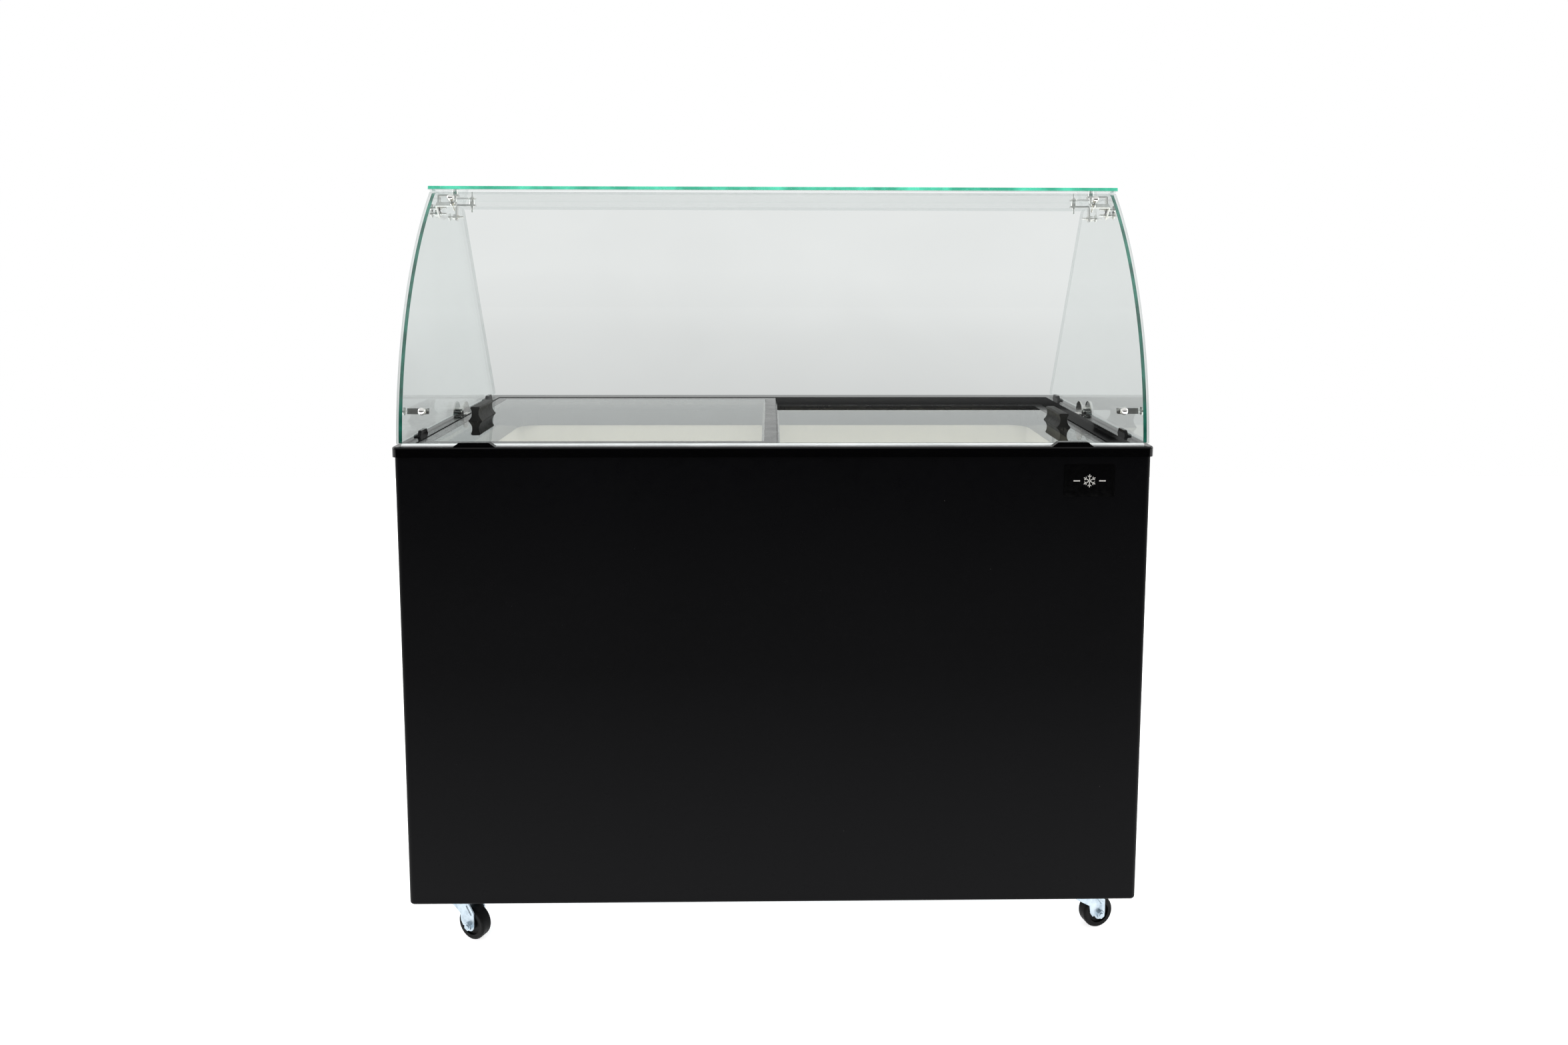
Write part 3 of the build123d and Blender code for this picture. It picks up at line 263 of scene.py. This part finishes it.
def handle_plastic():
    """Matt dark grey pull with fine draw lines along its length."""
    look = Look("handle_plastic", 0.5, specular=0.18)
    streak = look.remap(look.noise(500.0, 3.0, stretch=(1.0, 0.03, 1.0)), 0.3, 0.7)
    base = look.mix(streak, (0.009, 0.009, 0.008), (0.016, 0.015, 0.014))
    dust = look.remap(look.noise(900.0, 2.0), 0.68, 0.80, 0.0, 0.15)
    base = look.mix(dust, base, (0.20, 0.20, 0.19))
    wear = look.math("MULTIPLY", look.edge_wear(0.5 * MM), 0.25)
    look.feed("Base Color", look.mix(wear, base, (0.20, 0.20, 0.20)))
    look.feed("Roughness", look.remap(look.noise(120.0, 3.0), 0.3, 0.7, 0.42, 0.58))
    look.bump(look.noise(1600.0, 2.0, stretch=(1.0, 0.2, 1.0)), 0.015 * MM)
    return look.material


def clear_glass(name, tint, ior=1.45):
    """A pane's face: tinted see-through, mirrored by the Fresnel reflection of both its surfaces."""
    look = Look(name)
    ripple = look.bump(look.noise(3.0, 2.0), 0.015 * MM)
    fresnel = look.node("ShaderNodeFresnel", {"IOR": ior, "Normal": ripple}).outputs["Fac"]
    twice = look.math("DIVIDE", look.math("MULTIPLY", fresnel, 2.0), look.math("ADD", fresnel, 1.0))
    inside = look.tree.nodes.new("ShaderNodeNewGeometry").outputs["Backfacing"]
    mirror = look.math("MULTIPLY", twice, look.math("SUBTRACT", 1.0, inside))
    haze = look.remap(look.noise(5.0, 5.0, distortion=0.6), 0.35, 0.75)
    tone = look.mix(haze, tint, tuple(c * 0.985 for c in tint))
    through = look.node("ShaderNodeBsdfTransparent", {"Color": tone})
    blur = look.remap(look.noise(7.0, 4.0), 0.45, 0.75, 0.012, 0.035)
    gloss = {"Color": (0.98, 1.0, 1.0), "Roughness": blur, "Normal": ripple}
    shine = look.node("ShaderNodeBsdfGlossy", gloss)
    look.show(look.node("ShaderNodeMixShader", {0: mirror, 1: through.outputs[0], 2: shine.outputs[0]}))
    return look.material


def glass_edge(name, deep, bright, painted_glow):
    """A pane's polished edge, where the light piped through the sheet comes out green: that light is
    painted as emission, the brighter stretches along it are painted reflections, and its pale spots are
    nicks with painted glints.
    """
    look = Look(name, 0.10, specular=0.6)
    # painted reflections: noise swings the edge between its deep and bright colour, standing in for the
    # fittings mirrored along it
    band = look.remap(look.noise(26.0, 3.0), 0.35, 0.68)
    tone = look.mix(band, deep, bright)
    # pale spots: chips in the edge and painted glints together
    nick_and_glint = look.remap(look.noise(240.0, 2.0), 0.72, 0.80, 0.0, 0.55)
    tone = look.mix(nick_and_glint, tone, (0.62, 0.80, 0.74))
    look.feed("Base Color", tone)
    # painted light: the edge is given an emission in its own colour, though it is no lamp
    look.feed("Emission Color", tone)
    look.feed("Emission Strength", painted_glow)
    look.feed("Coat Weight", 0.6)
    look.bump(look.noise(420.0, 2.0), 0.01 * MM)
    return look.material


def pale_edge():
    """An edge that is mostly seen through the sheet: a faint grey-green line."""
    look = Look("edge_pale", 0.2, specular=0.3)
    band = look.remap(look.noise(30.0, 3.0), 0.35, 0.65)
    look.feed("Base Color", look.mix(band, (0.13, 0.20, 0.19), (0.20, 0.28, 0.27)))
    look.feed("Alpha", look.remap(band, 0.0, 1.0, 0.22, 0.30))
    look.bump(look.noise(300.0, 2.0), 0.01 * MM)
    return look.material


def chrome():
    """Polished nickel-chrome with faint polishing swirls."""
    look = Look("chrome", 0.1, metallic=1.0)
    drift = look.remap(look.noise(70.0, 3.0), 0.3, 0.7)
    look.feed("Base Color", look.mix(drift, (0.74, 0.73, 0.70), (0.90, 0.90, 0.89)))
    look.feed("Roughness", look.remap(look.noise(300.0, 3.0, distortion=1.0), 0.3, 0.7, 0.10, 0.20))
    look.bump(look.noise(500.0, 2.0), 0.006 * MM)
    return look.material


def zinc():
    """Bluish zinc plate with a soft mottle and duller patches."""
    look = Look("zinc_plate", 0.34, metallic=0.85)
    patch = look.remap(look.cells(160.0, output="Distance"), 0.1, 0.8)
    base = look.mix(patch, (0.30, 0.37, 0.43), (0.46, 0.55, 0.62))
    look.feed("Base Color", look.mix(look.remap(look.noise(60.0, 4.0), 0.4, 0.7), base, (0.56, 0.64, 0.70)))
    look.feed("Roughness", look.remap(look.noise(220.0, 4.0), 0.3, 0.7, 0.26, 0.42))
    look.bump(look.noise(800.0, 3.0), 0.010 * MM)
    return look.material


def tyre():
    """Black wheel with a lightly scuffed tread."""
    look = Look("wheel_tread", 0.42, specular=0.12)
    scuff = look.remap(look.noise(320.0, 4.0), 0.45, 0.75)
    base = look.mix(scuff, (0.0012, 0.0012, 0.0014), (0.0040, 0.0040, 0.0042))
    look.feed("Base Color", base)
    look.feed("Roughness", look.remap(look.noise(150.0, 4.0), 0.3, 0.7, 0.34, 0.58))
    look.bump(look.noise(900.0, 3.0), 0.02 * MM)
    return look.material


def liner():
    """Off-white coated tank sheet with a pressed stucco pattern."""
    look = Look("tank_liner", 0.34, specular=0.5)
    drift = look.remap(look.noise(3.0, 3.0), 0.3, 0.7)
    look.feed("Base Color", look.mix(drift, (0.86, 0.85, 0.78), (0.91, 0.90, 0.84)))
    look.feed("Roughness", look.remap(look.noise(30.0, 3.0), 0.3, 0.7, 0.28, 0.42))
    look.bump(look.cells(210.0, feature="SMOOTH_F1"), 0.12 * MM, 0.7)
    return look.material


def foam():
    """Rigid foam: cream skin with open pores."""
    look = Look("rigid_foam", 0.9, specular=0.2)
    pore = look.remap(look.cells(420.0), 0.15, 0.55)
    look.feed("Base Color", look.mix(pore, (0.55, 0.44, 0.22), (0.78, 0.67, 0.42)))
    look.bump(look.cells(420.0), 0.4 * MM)
    return look.material


def galvanised():
    """Galvanised sheet with large spangles."""
    look = Look("galvanised", 0.38, metallic=1.0)
    spangle = look.cells(70.0, output="Color")
    grey = look.node("ShaderNodeRGBToBW", {"Color": spangle}).outputs[0]
    look.feed("Base Color", look.mix(grey, (0.40, 0.42, 0.44), (0.62, 0.65, 0.68)))
    look.feed("Roughness", look.remap(grey, 0.0, 1.0, 0.28, 0.48))
    look.bump(look.noise(300.0, 3.0), 0.02 * MM)
    return look.material


def copper():
    """Drawn copper with brown tarnish."""
    look = Look("copper", 0.3, metallic=1.0)
    tarnish = look.remap(look.noise(55.0, 5.0, distortion=0.8), 0.42, 0.70)
    look.feed("Base Color", look.mix(tarnish, (0.80, 0.42, 0.27), (0.30, 0.15, 0.09)))
    look.feed("Roughness", look.remap(tarnish, 0.0, 1.0, 0.22, 0.5))
    look.bump(look.noise(400.0, 2.0), 0.01 * MM)
    return look.material


def lamp_lens():
    """Green indicator lens with a pressed texture."""
    look = Look("lamp_lens", 0.12, specular=0.6)
    pattern = look.remap(look.noise(600.0, 1.0), 0.4, 0.6)
    look.feed("Base Color", look.mix(pattern, (0.01, 0.20, 0.04), (0.03, 0.42, 0.10)))
    look.feed("Coat Weight", 0.7)
    look.bump(look.noise(700.0, 1.0), 0.05 * MM)
    return look.material


def clear_strip():
    """Milky clear strip under the curved glass."""
    look = Look("clear_strip", 0.22, specular=0.7)
    vein = look.remap(look.noise(60.0, 4.0, stretch=(0.2, 1.0, 1.0)), 0.3, 0.7)
    look.feed("Base Color", look.mix(vein, (0.62, 0.64, 0.64), (0.84, 0.86, 0.86)))
    look.feed("Coat Weight", 0.5)
    look.bump(look.noise(300.0, 2.0), 0.01 * MM)
    return look.material


FINISHES = {
    "body_black": powder_coat(),
    "galvanised_steel": galvanised(),
    "liner_white": liner(),
    "insulation_foam": foam(),
    "copper_pipe": copper(),
    "frame_black": gloss_black("rim_plastic"),
    "fitting_black": gloss_black("clip_plastic", 0.10),
    "lid_frame_black": lid_profile(),
    "lid_glass": clear_glass("lid_pane", (0.992, 0.979, 0.960), 1.65),
    "handle_grey": handle_plastic(),
    "canopy_glass": clear_glass("canopy_pane", (0.977, 0.987, 0.985)),
    "seal_clear": clear_strip(),
    "chrome_fitting": chrome(),
    "rubber_black": moulded("soft_rubber", (0.012, 0.012, 0.012), 0.62, grain=900.0, depth=0.04 * MM),
    "badge_black": badge_film(),
    "zinc_steel": zinc(),
    "wheel_black": tyre(),
    "compressor_black": moulded("enamel_black", (0.008, 0.008, 0.008), 0.25, grain=300.0),
    "fan_plastic": moulded("fan_nylon", (0.030, 0.030, 0.032), 0.5),
    "motor_steel": moulded("motor_can", (0.32, 0.33, 0.34), 0.35, metallic=0.9),
    "grille_black": moulded("grille_enamel", (0.009, 0.009, 0.010), 0.4, grain=500.0, specular=0.35),
    "panel_grey": moulded("panel_abs", (0.035, 0.035, 0.037), 0.45, grain=800.0),
    "knob_black": moulded("knob_abs", (0.010, 0.010, 0.010), 0.35),
    "lamp_green": lamp_lens(),
    "gland_black": moulded("gland_nylon", (0.016, 0.016, 0.016), 0.5),
    "pipe_white": moulded("drain_pvc", (0.70, 0.70, 0.68), 0.4, spread=0.05),
}


def paint_cad_nodes():
    """Gives every carried-over CAD node the procedural finish of its slot."""
    slots = {row["node"]: row["material_slot"] for row in frame["record"]["subparts"]}
    for name, node in nodes.items():
        for material_slot in node.material_slots:
            material_slot.material = FINISHES[slots[name]]


paint_cad_nodes()


# ---------------------------------------------------------------- mesh helpers


def new_piece(name, mesh_data, materials, body, smooth_angle=math.radians(30)):
    """Turns a bmesh into a piece that rides on a body."""
    mesh = bpy.data.meshes.new(name)
    mesh_data.to_mesh(mesh)
    mesh_data.free()
    for material in materials:
        mesh.materials.append(material)
    mesh.shade_smooth()
    mesh.set_sharp_from_angle(angle=smooth_angle)
    piece = bpy.data.objects.new(name, mesh)
    bpy.context.scene.collection.objects.link(piece)
    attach(piece, body)
    return piece


def flat_pane(outline, thickness, pale, cuts=()):
    """A pane in its own plane: outline in u and v, thickness along w, optional cuts across v.

    Its faces take material 0 and its polished rim takes 1, or 2 where the rim test says it is pale.
    """
    data = bmesh.new()
    low = [data.verts.new((u, v, 0.0)) for u, v in outline]
    face = data.faces.new(low)
    made = bmesh.ops.extrude_face_region(data, geom=[face])
    upper = [v for v in made["geom"] if isinstance(v, bmesh.types.BMVert)]
    bmesh.ops.translate(data, verts=upper, vec=(0, 0, thickness))
    bmesh.ops.recalc_face_normals(data, faces=data.faces)
    rim = [e for e in data.edges if abs(e.verts[0].co.z - e.verts[1].co.z) < 1e-9]
    bmesh.ops.bevel(data, geom=rim, offset=EDGE_CUT, segments=2, affect="EDGES", profile=0.5)
    for v in cuts:
        geometry = data.verts[:] + data.edges[:] + data.faces[:]
        bmesh.ops.bisect_plane(data, geom=geometry, plane_co=(0, v, 0), plane_no=(0, 1, 0))
    for f in data.faces:
        if abs(f.normal.z) > 0.95:
            f.material_index = 0
        else:
            f.material_index = 2 if pale(f) else 1
    return data


def rounded(corners, radii, steps=6):
    """A closed outline with its corners rounded: tangent arcs of the given radii."""
    outline = []
    count = len(corners)
    for i, (corner, radius) in enumerate(zip(corners, radii)):
        here = Vector(corner)
        if radius == 0:
            outline.append(tuple(here))
            continue
        before = (Vector(corners[i - 1]) - here).normalized()
        after = (Vector(corners[(i + 1) % count]) - here).normalized()
        half = before.angle(after) / 2
        reach = radius / math.tan(half)
        centre = here + (before + after).normalized() * (radius / math.sin(half))
        start, end = here + before * reach - centre, here + after * reach - centre
        sweep = start.angle_signed(end)
        for step in range(steps + 1):
            turned = Matrix.Rotation(-sweep * step / steps, 2) @ start
            outline.append(tuple(centre + turned))
    return outline


# ---------------------------------------------------------------- canopy


def front_pane():
    """The curved front pane: built flat, then bent round the canopy's centre line."""
    low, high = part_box("front_glass")
    start = math.asin((low.z - CURVE_Z) / FRONT_RADIUS)
    end = math.asin((high.z - CURVE_Z) / FRONT_RADIUS)
    length = (end - start) * FRONT_RADIUS
    half = high.x
    corners = [(-half, 0), (half, 0), (half, length), (-half, length)]
    outline = rounded(corners, (2 * MM,) * 4)
    cuts = [length * n / 64 for n in range(1, 64)]
    data = flat_pane(outline, GLASS, lambda face: True, cuts)
    for vert in data.verts:
        x, along, depth = vert.co
        angle = start + along / FRONT_RADIUS
        radius = FRONT_RADIUS - GLASS + depth
        vert.co = (x, CURVE_Y - radius * math.cos(angle), CURVE_Z + radius * math.sin(angle))
    bmesh.ops.recalc_face_normals(data, faces=data.faces)
    return data


def roof_pane():
    """The flat roof pane, tilted down towards the operator."""
    low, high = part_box("top_glass")
    run = (high.y - low.y - GLASS * math.sin(ROOF_SLOPE)) / math.cos(ROOF_SLOPE)
    corners = [(low.x, 0), (high.x, 0), (high.x, run), (low.x, run)]

    def behind_front(face):
        return face.calc_center_median().y > 2 * MM

    data = flat_pane(rounded(corners, (4 * MM,) * 4), GLASS, behind_front)
    tilt = Matrix.Rotation(-ROOF_SLOPE, 4, "X")
    front_low = Vector((0, low.y, high.z - GLASS * math.cos(ROOF_SLOPE)))
    bmesh.ops.transform(data, matrix=Matrix.Translation(front_low) @ tilt, verts=data.verts)
    return data


def side_outline(low, high):
    """Outline of a side pane in Y and Z, read off its CAD box and the canopy's curve."""
    radius = FRONT_RADIUS - GLASS - 1 * MM
    steps = 40
    start = math.asin((low.z - CURVE_Z) / radius)
    end = math.acos((CURVE_Y - SIDE_TOP_FRONT_Y) / radius)
    arc = []
    for step in range(steps + 1):
        angle = start + (end - start) * step / steps
        arc.append((CURVE_Y - radius * math.cos(angle), CURVE_Z + radius * math.sin(angle)))
    top_run = SIDE_TOP_BACK_Y - SIDE_TOP_FRONT_Y
    top_back = (SIDE_TOP_BACK_Y, arc[-1][1] - top_run * math.tan(ROOF_SLOPE))
    bottom_back = (high.y, low.z)
    corners = arc + [top_back, bottom_back]
    radii = [0] * (len(arc) - 1) + [6 * MM, 15 * MM, 4 * MM]
    return rounded(corners, radii)


def side_pane(node):
    """One side pane, standing in its YZ plane."""
    low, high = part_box(node)
    curve_end = CURVE_Y - FRONT_RADIUS * 0.6

    def behind_curve(face):
        return face.calc_center_median().x > curve_end

    data = flat_pane(side_outline(low, high), GLASS, behind_curve)
    for vert in data.verts:
        y, z, depth = vert.co
        vert.co = (low.x + depth, y, z)
    bmesh.ops.recalc_face_normals(data, faces=data.faces)
    return data


def canopy():
    """The four panes that replace the CAD ones: teal edges, an emerald one on the roof, the rest pale; the
    teal and emerald edges are painted shaded and lit copies of one glass edge.
    """
    face = FINISHES["canopy_glass"]
    # painted shade and light: one glass edge as a dark teal copy with weak emission and a bright emerald
    # copy with stronger emission for the roof
    teal = glass_edge("edge_teal_painted_shade", (0.003, 0.060, 0.042), (0.02, 0.16, 0.115), 0.05)
    emerald = glass_edge("edge_emerald_painted_light", (0.012, 0.21, 0.13), (0.045, 0.38, 0.25), 0.12)
    pale = pale_edge()
    front_face = clear_glass("front_pane_face", (0.886, 0.898, 0.893))
    panes = [
        ("pane_front", front_pane(), "front_glass", front_face, teal),
        ("pane_roof", roof_pane(), "top_glass", face, emerald),
        ("pane_left", side_pane("side_glass_left"), "side_glass_left", face, teal),
        ("pane_right", side_pane("side_glass_right"), "side_glass_right", face, teal),
    ]
    for name, data, node, face_look, edge_look in panes:
        looks = [face_look, edge_look, pale]
        piece = new_piece(name, data, looks, "cabinet", math.radians(20))
        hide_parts(node)


canopy()


# ---------------------------------------------------------------- small visual pieces


def bar(data, start, end, width, depth):
    """Adds a thin bar between two points of the XZ plane, standing out by a depth towards -Y."""
    start, end = Vector(start), Vector(end)
    along = (end - start).normalized()
    across = Vector((-along.y, along.x)) * width / 2
    outline = [start - across, end - across, end + across, start + across]
    low = [data.verts.new((p.x, 0.0, p.y)) for p in outline]
    face = data.faces.new(low)
    made = bmesh.ops.extrude_face_region(data, geom=[face])
    upper = [v for v in made["geom"] if isinstance(v, bmesh.types.BMVert)]
    bmesh.ops.translate(data, verts=upper, vec=(0, -depth, 0))


def badge_emblem():
    """A plain snowflake with a short bar on each side, printed on the badge."""
    low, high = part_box("badge_plate")
    centre = (low + high) / 2
    data = bmesh.new()
    arm, twig, width = 11 * MM, 4 * MM, 1.3 * MM
    for turn in range(6):
        angle = math.radians(60 * turn + 30)
        tip = Vector((math.cos(angle), math.sin(angle))) * arm
        bar(data, (0, 0), tip, width, PRINT_DEPTH)
        for lean in (-50, 50):
            side = angle + math.radians(lean)
            fork = tip * 0.55
            end = fork + Vector((math.cos(side), math.sin(side))) * twig
            bar(data, fork, end, width * 0.8, PRINT_DEPTH)
    for side in (-1, 1):
        bar(data, (side * 16 * MM, 0), (side * 27 * MM, 0), 1.8 * MM, PRINT_DEPTH)
    bmesh.ops.recalc_face_normals(data, faces=data.faces)
    bmesh.ops.translate(data, verts=data.verts, vec=(centre.x, low.y, centre.z))
    ink = moulded("badge_print", (0.34, 0.33, 0.31), 0.45, grain=900.0, spread=0.12)
    new_piece("badge_emblem", data, [ink], "cabinet")


def dial_marks():
    """Ticks round the knob over its travel from upright, longer at the ends and in the middle."""
    low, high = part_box("thermostat_knob")
    centre = (low + high) / 2
    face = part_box("control_panel")[1].y - PANEL_RECESS + TICK_DEPTH
    data = bmesh.new()
    inner, steps = (high.x - low.x) / 2 + 1.6 * MM, 10
    for step in range(steps + 1):
        angle = math.radians(90) + KNOB_TRAVEL * step / steps
        ray = Vector((math.cos(angle), math.sin(angle)))
        length = 3.8 * MM if step in (0, steps // 2, steps) else 2.6 * MM
        bar(data, ray * inner, ray * (inner + length), 1.0 * MM, TICK_DEPTH)
    bmesh.ops.recalc_face_normals(data, faces=data.faces)
    bmesh.ops.translate(data, verts=data.verts, vec=(centre.x, face, centre.z))
    ink = moulded("dial_print", (0.62, 0.62, 0.60), 0.5, grain=900.0, spread=0.1)
    new_piece("dial_marks", data, [ink], "cabinet")


def screw_head(data, centre):
    """Adds a low domed screw head facing +Y, with a slightly raised cross that stands for its recess."""
    radius, rings, around = 3.2 * MM, 4, 20
    turn = Matrix.Translation(centre) @ Matrix.Rotation(math.radians(-90), 4, "X")
    loops = []
    for ring in range(rings + 1):
        lean = math.radians(90 * ring / (rings + 0.35))
        r, height = radius * math.cos(lean), 1.5 * MM * math.sin(lean)
        loop = []
        for n in range(around):
            angle = 2 * math.pi * n / around
            loop.append(data.verts.new(turn @ Vector((r * math.cos(angle), r * math.sin(angle), height))))
        loops.append(loop)
    for below, above in zip(loops, loops[1:]):
        for n in range(around):
            m = (n + 1) % around
            data.faces.new((below[n], below[m], above[m], above[n]))
    data.faces.new(loops[-1])
    for angle in (45, 135):
        cross = bmesh.ops.create_cube(data, size=1.0)["verts"]
        size = Matrix.Diagonal((3.6 * MM, 0.7 * MM, 0.2 * MM, 1.0))
        spun = Matrix.Rotation(math.radians(angle), 4, "Z")
        lift = Matrix.Translation((0, 0, 1.5 * MM))
        bmesh.ops.transform(data, matrix=turn @ lift @ spun @ size, verts=cross)


def sheet_screws():
    """Pan-head screws at the corners of the rear grille and of the control panel."""
    data = bmesh.new()
    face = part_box("control_panel")[1].y
    for node in ("rear_grille", "control_panel"):
        low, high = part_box(node)
        for x in (low.x + 4 * MM, high.x - 4 * MM):
            for z in (low.z + 4 * MM, high.z - 4 * MM):
                screw_head(data, Vector((x, face, z)))
    new_piece("sheet_screws", data, [FINISHES["zinc_steel"]], "cabinet", math.radians(25))


badge_emblem()
dial_marks()
sheet_screws()


# ---------------------------------------------------------------- light and camera


def area_light(name, place, target, size, power):
    """A soft white rectangular light aimed at a point."""
    light = bpy.data.lights.new(name, "AREA")
    light.shape = "RECTANGLE"
    light.size, light.size_y = size
    light.energy = power
    lamp = bpy.data.objects.new(name, light)
    lamp.location = place
    lamp.rotation_mode = "QUATERNION"
    lamp.rotation_quaternion = (Vector(target) - Vector(place)).to_track_quat("-Z", "Y")
    bpy.context.scene.collection.objects.link(lamp)
    return lamp


def studio_sheet(name, corners, material):
    """A flat sheet for the studio, not attached to any of the freezer's bodies."""
    data = bmesh.new()
    data.faces.new([data.verts.new(c) for c in corners])
    mesh = bpy.data.meshes.new(name)
    data.to_mesh(mesh)
    data.free()
    mesh.materials.append(material)
    sheet = bpy.data.objects.new(name, mesh)
    bpy.context.scene.collection.objects.link(sheet)
    return sheet


def floor():
    """Pale floor, ending where the view through the canopy begins and dimmer where seen through a pane."""
    look = Look("floor_white", 0.75, specular=0.1)
    tone = look.mix(look.noise(0.6, 3.0), (0.52, 0.52, 0.52), (0.54, 0.54, 0.54))
    look.feed("Base Color", tone)
    look.feed("Emission Color", (1.0, 1.0, 1.0))
    path = look.tree.nodes.new("ShaderNodeLightPath")
    panes = look.remap(path.outputs["Transparent Depth"], 0.0, 1.0)
    seen_through = look.math("MULTIPLY", panes, path.outputs["Is Camera Ray"])
    look.feed("Emission Strength", look.remap(seen_through, 0.0, 1.0, 0.72, 0.14))
    near, back, reach = -FLOOR_REACH, FLOOR_BACK, FLOOR_REACH
    corners = [(-reach, near, 0), (reach, near, 0), (reach, back, 0), (-reach, back, 0)]
    studio_sheet("floor", corners, look.material)


def backdrop_card():
    """A card in front of the cabinet that only shows in reflections.

    It is pale at the floor, dark above that, and pale again towards its top.
    """
    look = Look("reflection_card")
    ramp = look.node("ShaderNodeValToRGB", {"Fac": look.remap(look.height(), 0.0, CARD_TOP)})
    stops = ramp.color_ramp
    stops.interpolation = "EASE"
    stops.elements[0].color = (0.8, 0.8, 0.8, 1)
    stops.elements[1].color = (1, 1, 1, 1)
    for place, grey in ((0.03, 0.02), (0.12, 0.02), (0.26, 0.04), (0.33, 0.10), (0.42, 0.60), (0.70, 0.70)):
        stops.elements.new(place).color = (grey, grey, grey, 1)
    look.show(look.node("ShaderNodeEmission", {"Color": ramp.outputs["Color"]}))
    y, reach, top = CARD_Y, CARD_REACH, CARD_TOP
    corners = [(-reach, y, 0), (reach, y, 0), (reach, y, top), (-reach, y, top)]
    board = studio_sheet("reflection_card", corners, look.material)
    board.visible_camera = False
    board.visible_diffuse = False
    board.visible_transmission = False
    board.visible_shadow = False


def surroundings():
    """White surroundings, brighter as a soft light and greyer where they are seen through the panes."""
    world = bpy.data.worlds.new("studio")
    bpy.context.scene.world = world
    world.use_nodes = True
    tree = world.node_tree
    background = tree.nodes["Background"]
    background.inputs["Color"].default_value = (1, 1, 1, 1)

    def ranged(source, low, high, to_low, to_high):
        made = tree.nodes.new("ShaderNodeMapRange")
        tree.links.new(source, made.inputs["Value"])
        for name, value in (("From Min", low), ("From Max", high), ("To Min", to_low), ("To Max", to_high)):
            made.inputs[name].default_value = value
        return made.outputs["Result"]

    def combined(operation, first, second):
        made = tree.nodes.new("ShaderNodeMath")
        made.operation = operation
        tree.links.new(first, made.inputs[0])
        tree.links.new(second, made.inputs[1])
        return made.outputs[0]

    direction = tree.nodes.new("ShaderNodeTexCoord").outputs["Generated"]
    split = tree.nodes.new("ShaderNodeSeparateXYZ")
    tree.links.new(direction, split.inputs[0])
    clouds = tree.nodes.new("ShaderNodeTexNoise")
    clouds.inputs["Scale"].default_value = 3.0
    tree.links.new(direction, clouds.inputs["Vector"])
    rise = ranged(split.outputs["Z"], -0.15, -0.02, 0.82, 1.0)
    slant = ranged(split.outputs["X"], 0.10, 0.35, 1.0, 1.04)
    mottle = ranged(clouds.outputs["Fac"], 0.35, 0.65, 0.975, 1.02)
    wall = combined("MULTIPLY", combined("MULTIPLY", rise, slant), mottle)
    path = tree.nodes.new("ShaderNodeLightPath")
    through = ranged(path.outputs["Transparent Depth"], 0.0, 1.0, 0.0, 1.0)
    seen_through = combined("MULTIPLY", through, path.outputs["Is Camera Ray"])
    darkening = combined("MULTIPLY", seen_through, ranged(wall, 0.0, 1.0, 1.0, 0.0))
    soft = ranged(path.outputs["Is Diffuse Ray"], 0.0, 1.0, 1.0, 1.55)
    mirrored = combined("MULTIPLY", soft, ranged(path.outputs["Is Glossy Ray"], 0.0, 1.0, 1.0, 0.88))
    tree.links.new(combined("SUBTRACT", mirrored, darkening), background.inputs["Strength"])


def studio():
    """An overhead softbox and two side lights in white surroundings."""
    surroundings()
    backdrop_card()
    middle = (cad_low + cad_high) / 2
    overhead = area_light("overhead", (0.2, -0.6, 3.4), middle, (2.6, 2.0), 112)
    overhead.visible_glossy = False
    area_light("left_fill", (-3.4, 0.6, 2.2), middle, (0.9, 1.8), 26)
    area_light("right_fill", (3.4, 0.4, 2.0), middle, (0.9, 1.8), 20)


def camera():
    """The view from the customer's side, a little above the lids and tilted down."""
    data = bpy.data.cameras.new("camera")
    data.sensor_width = 36.0
    data.lens = 23.82
    data.shift_x, data.shift_y = -0.0017, -0.1104
    data.clip_start, data.clip_end = 0.05, 100
    pitch, yaw, roll = CAMERA_PITCH, CAMERA_YAW, CAMERA_ROLL
    ahead = Vector((math.sin(yaw) * math.cos(pitch), math.cos(yaw) * math.cos(pitch), -math.sin(pitch)))
    right = Vector((math.cos(yaw), -math.sin(yaw), 0))
    up = right.cross(ahead)
    rolled_right = right * math.cos(roll) + up * math.sin(roll)
    rolled_up = up * math.cos(roll) - right * math.sin(roll)
    viewer = bpy.data.objects.new("camera", data)
    turn = Matrix((rolled_right, rolled_up, -ahead)).transposed().to_4x4()
    viewer.matrix_world = Matrix.Translation(CAMERA_PLACE) @ turn
    bpy.context.scene.collection.objects.link(viewer)
    bpy.context.scene.camera = viewer


bpy.context.scene.view_settings.view_transform = "Standard"
floor()
studio()
camera()
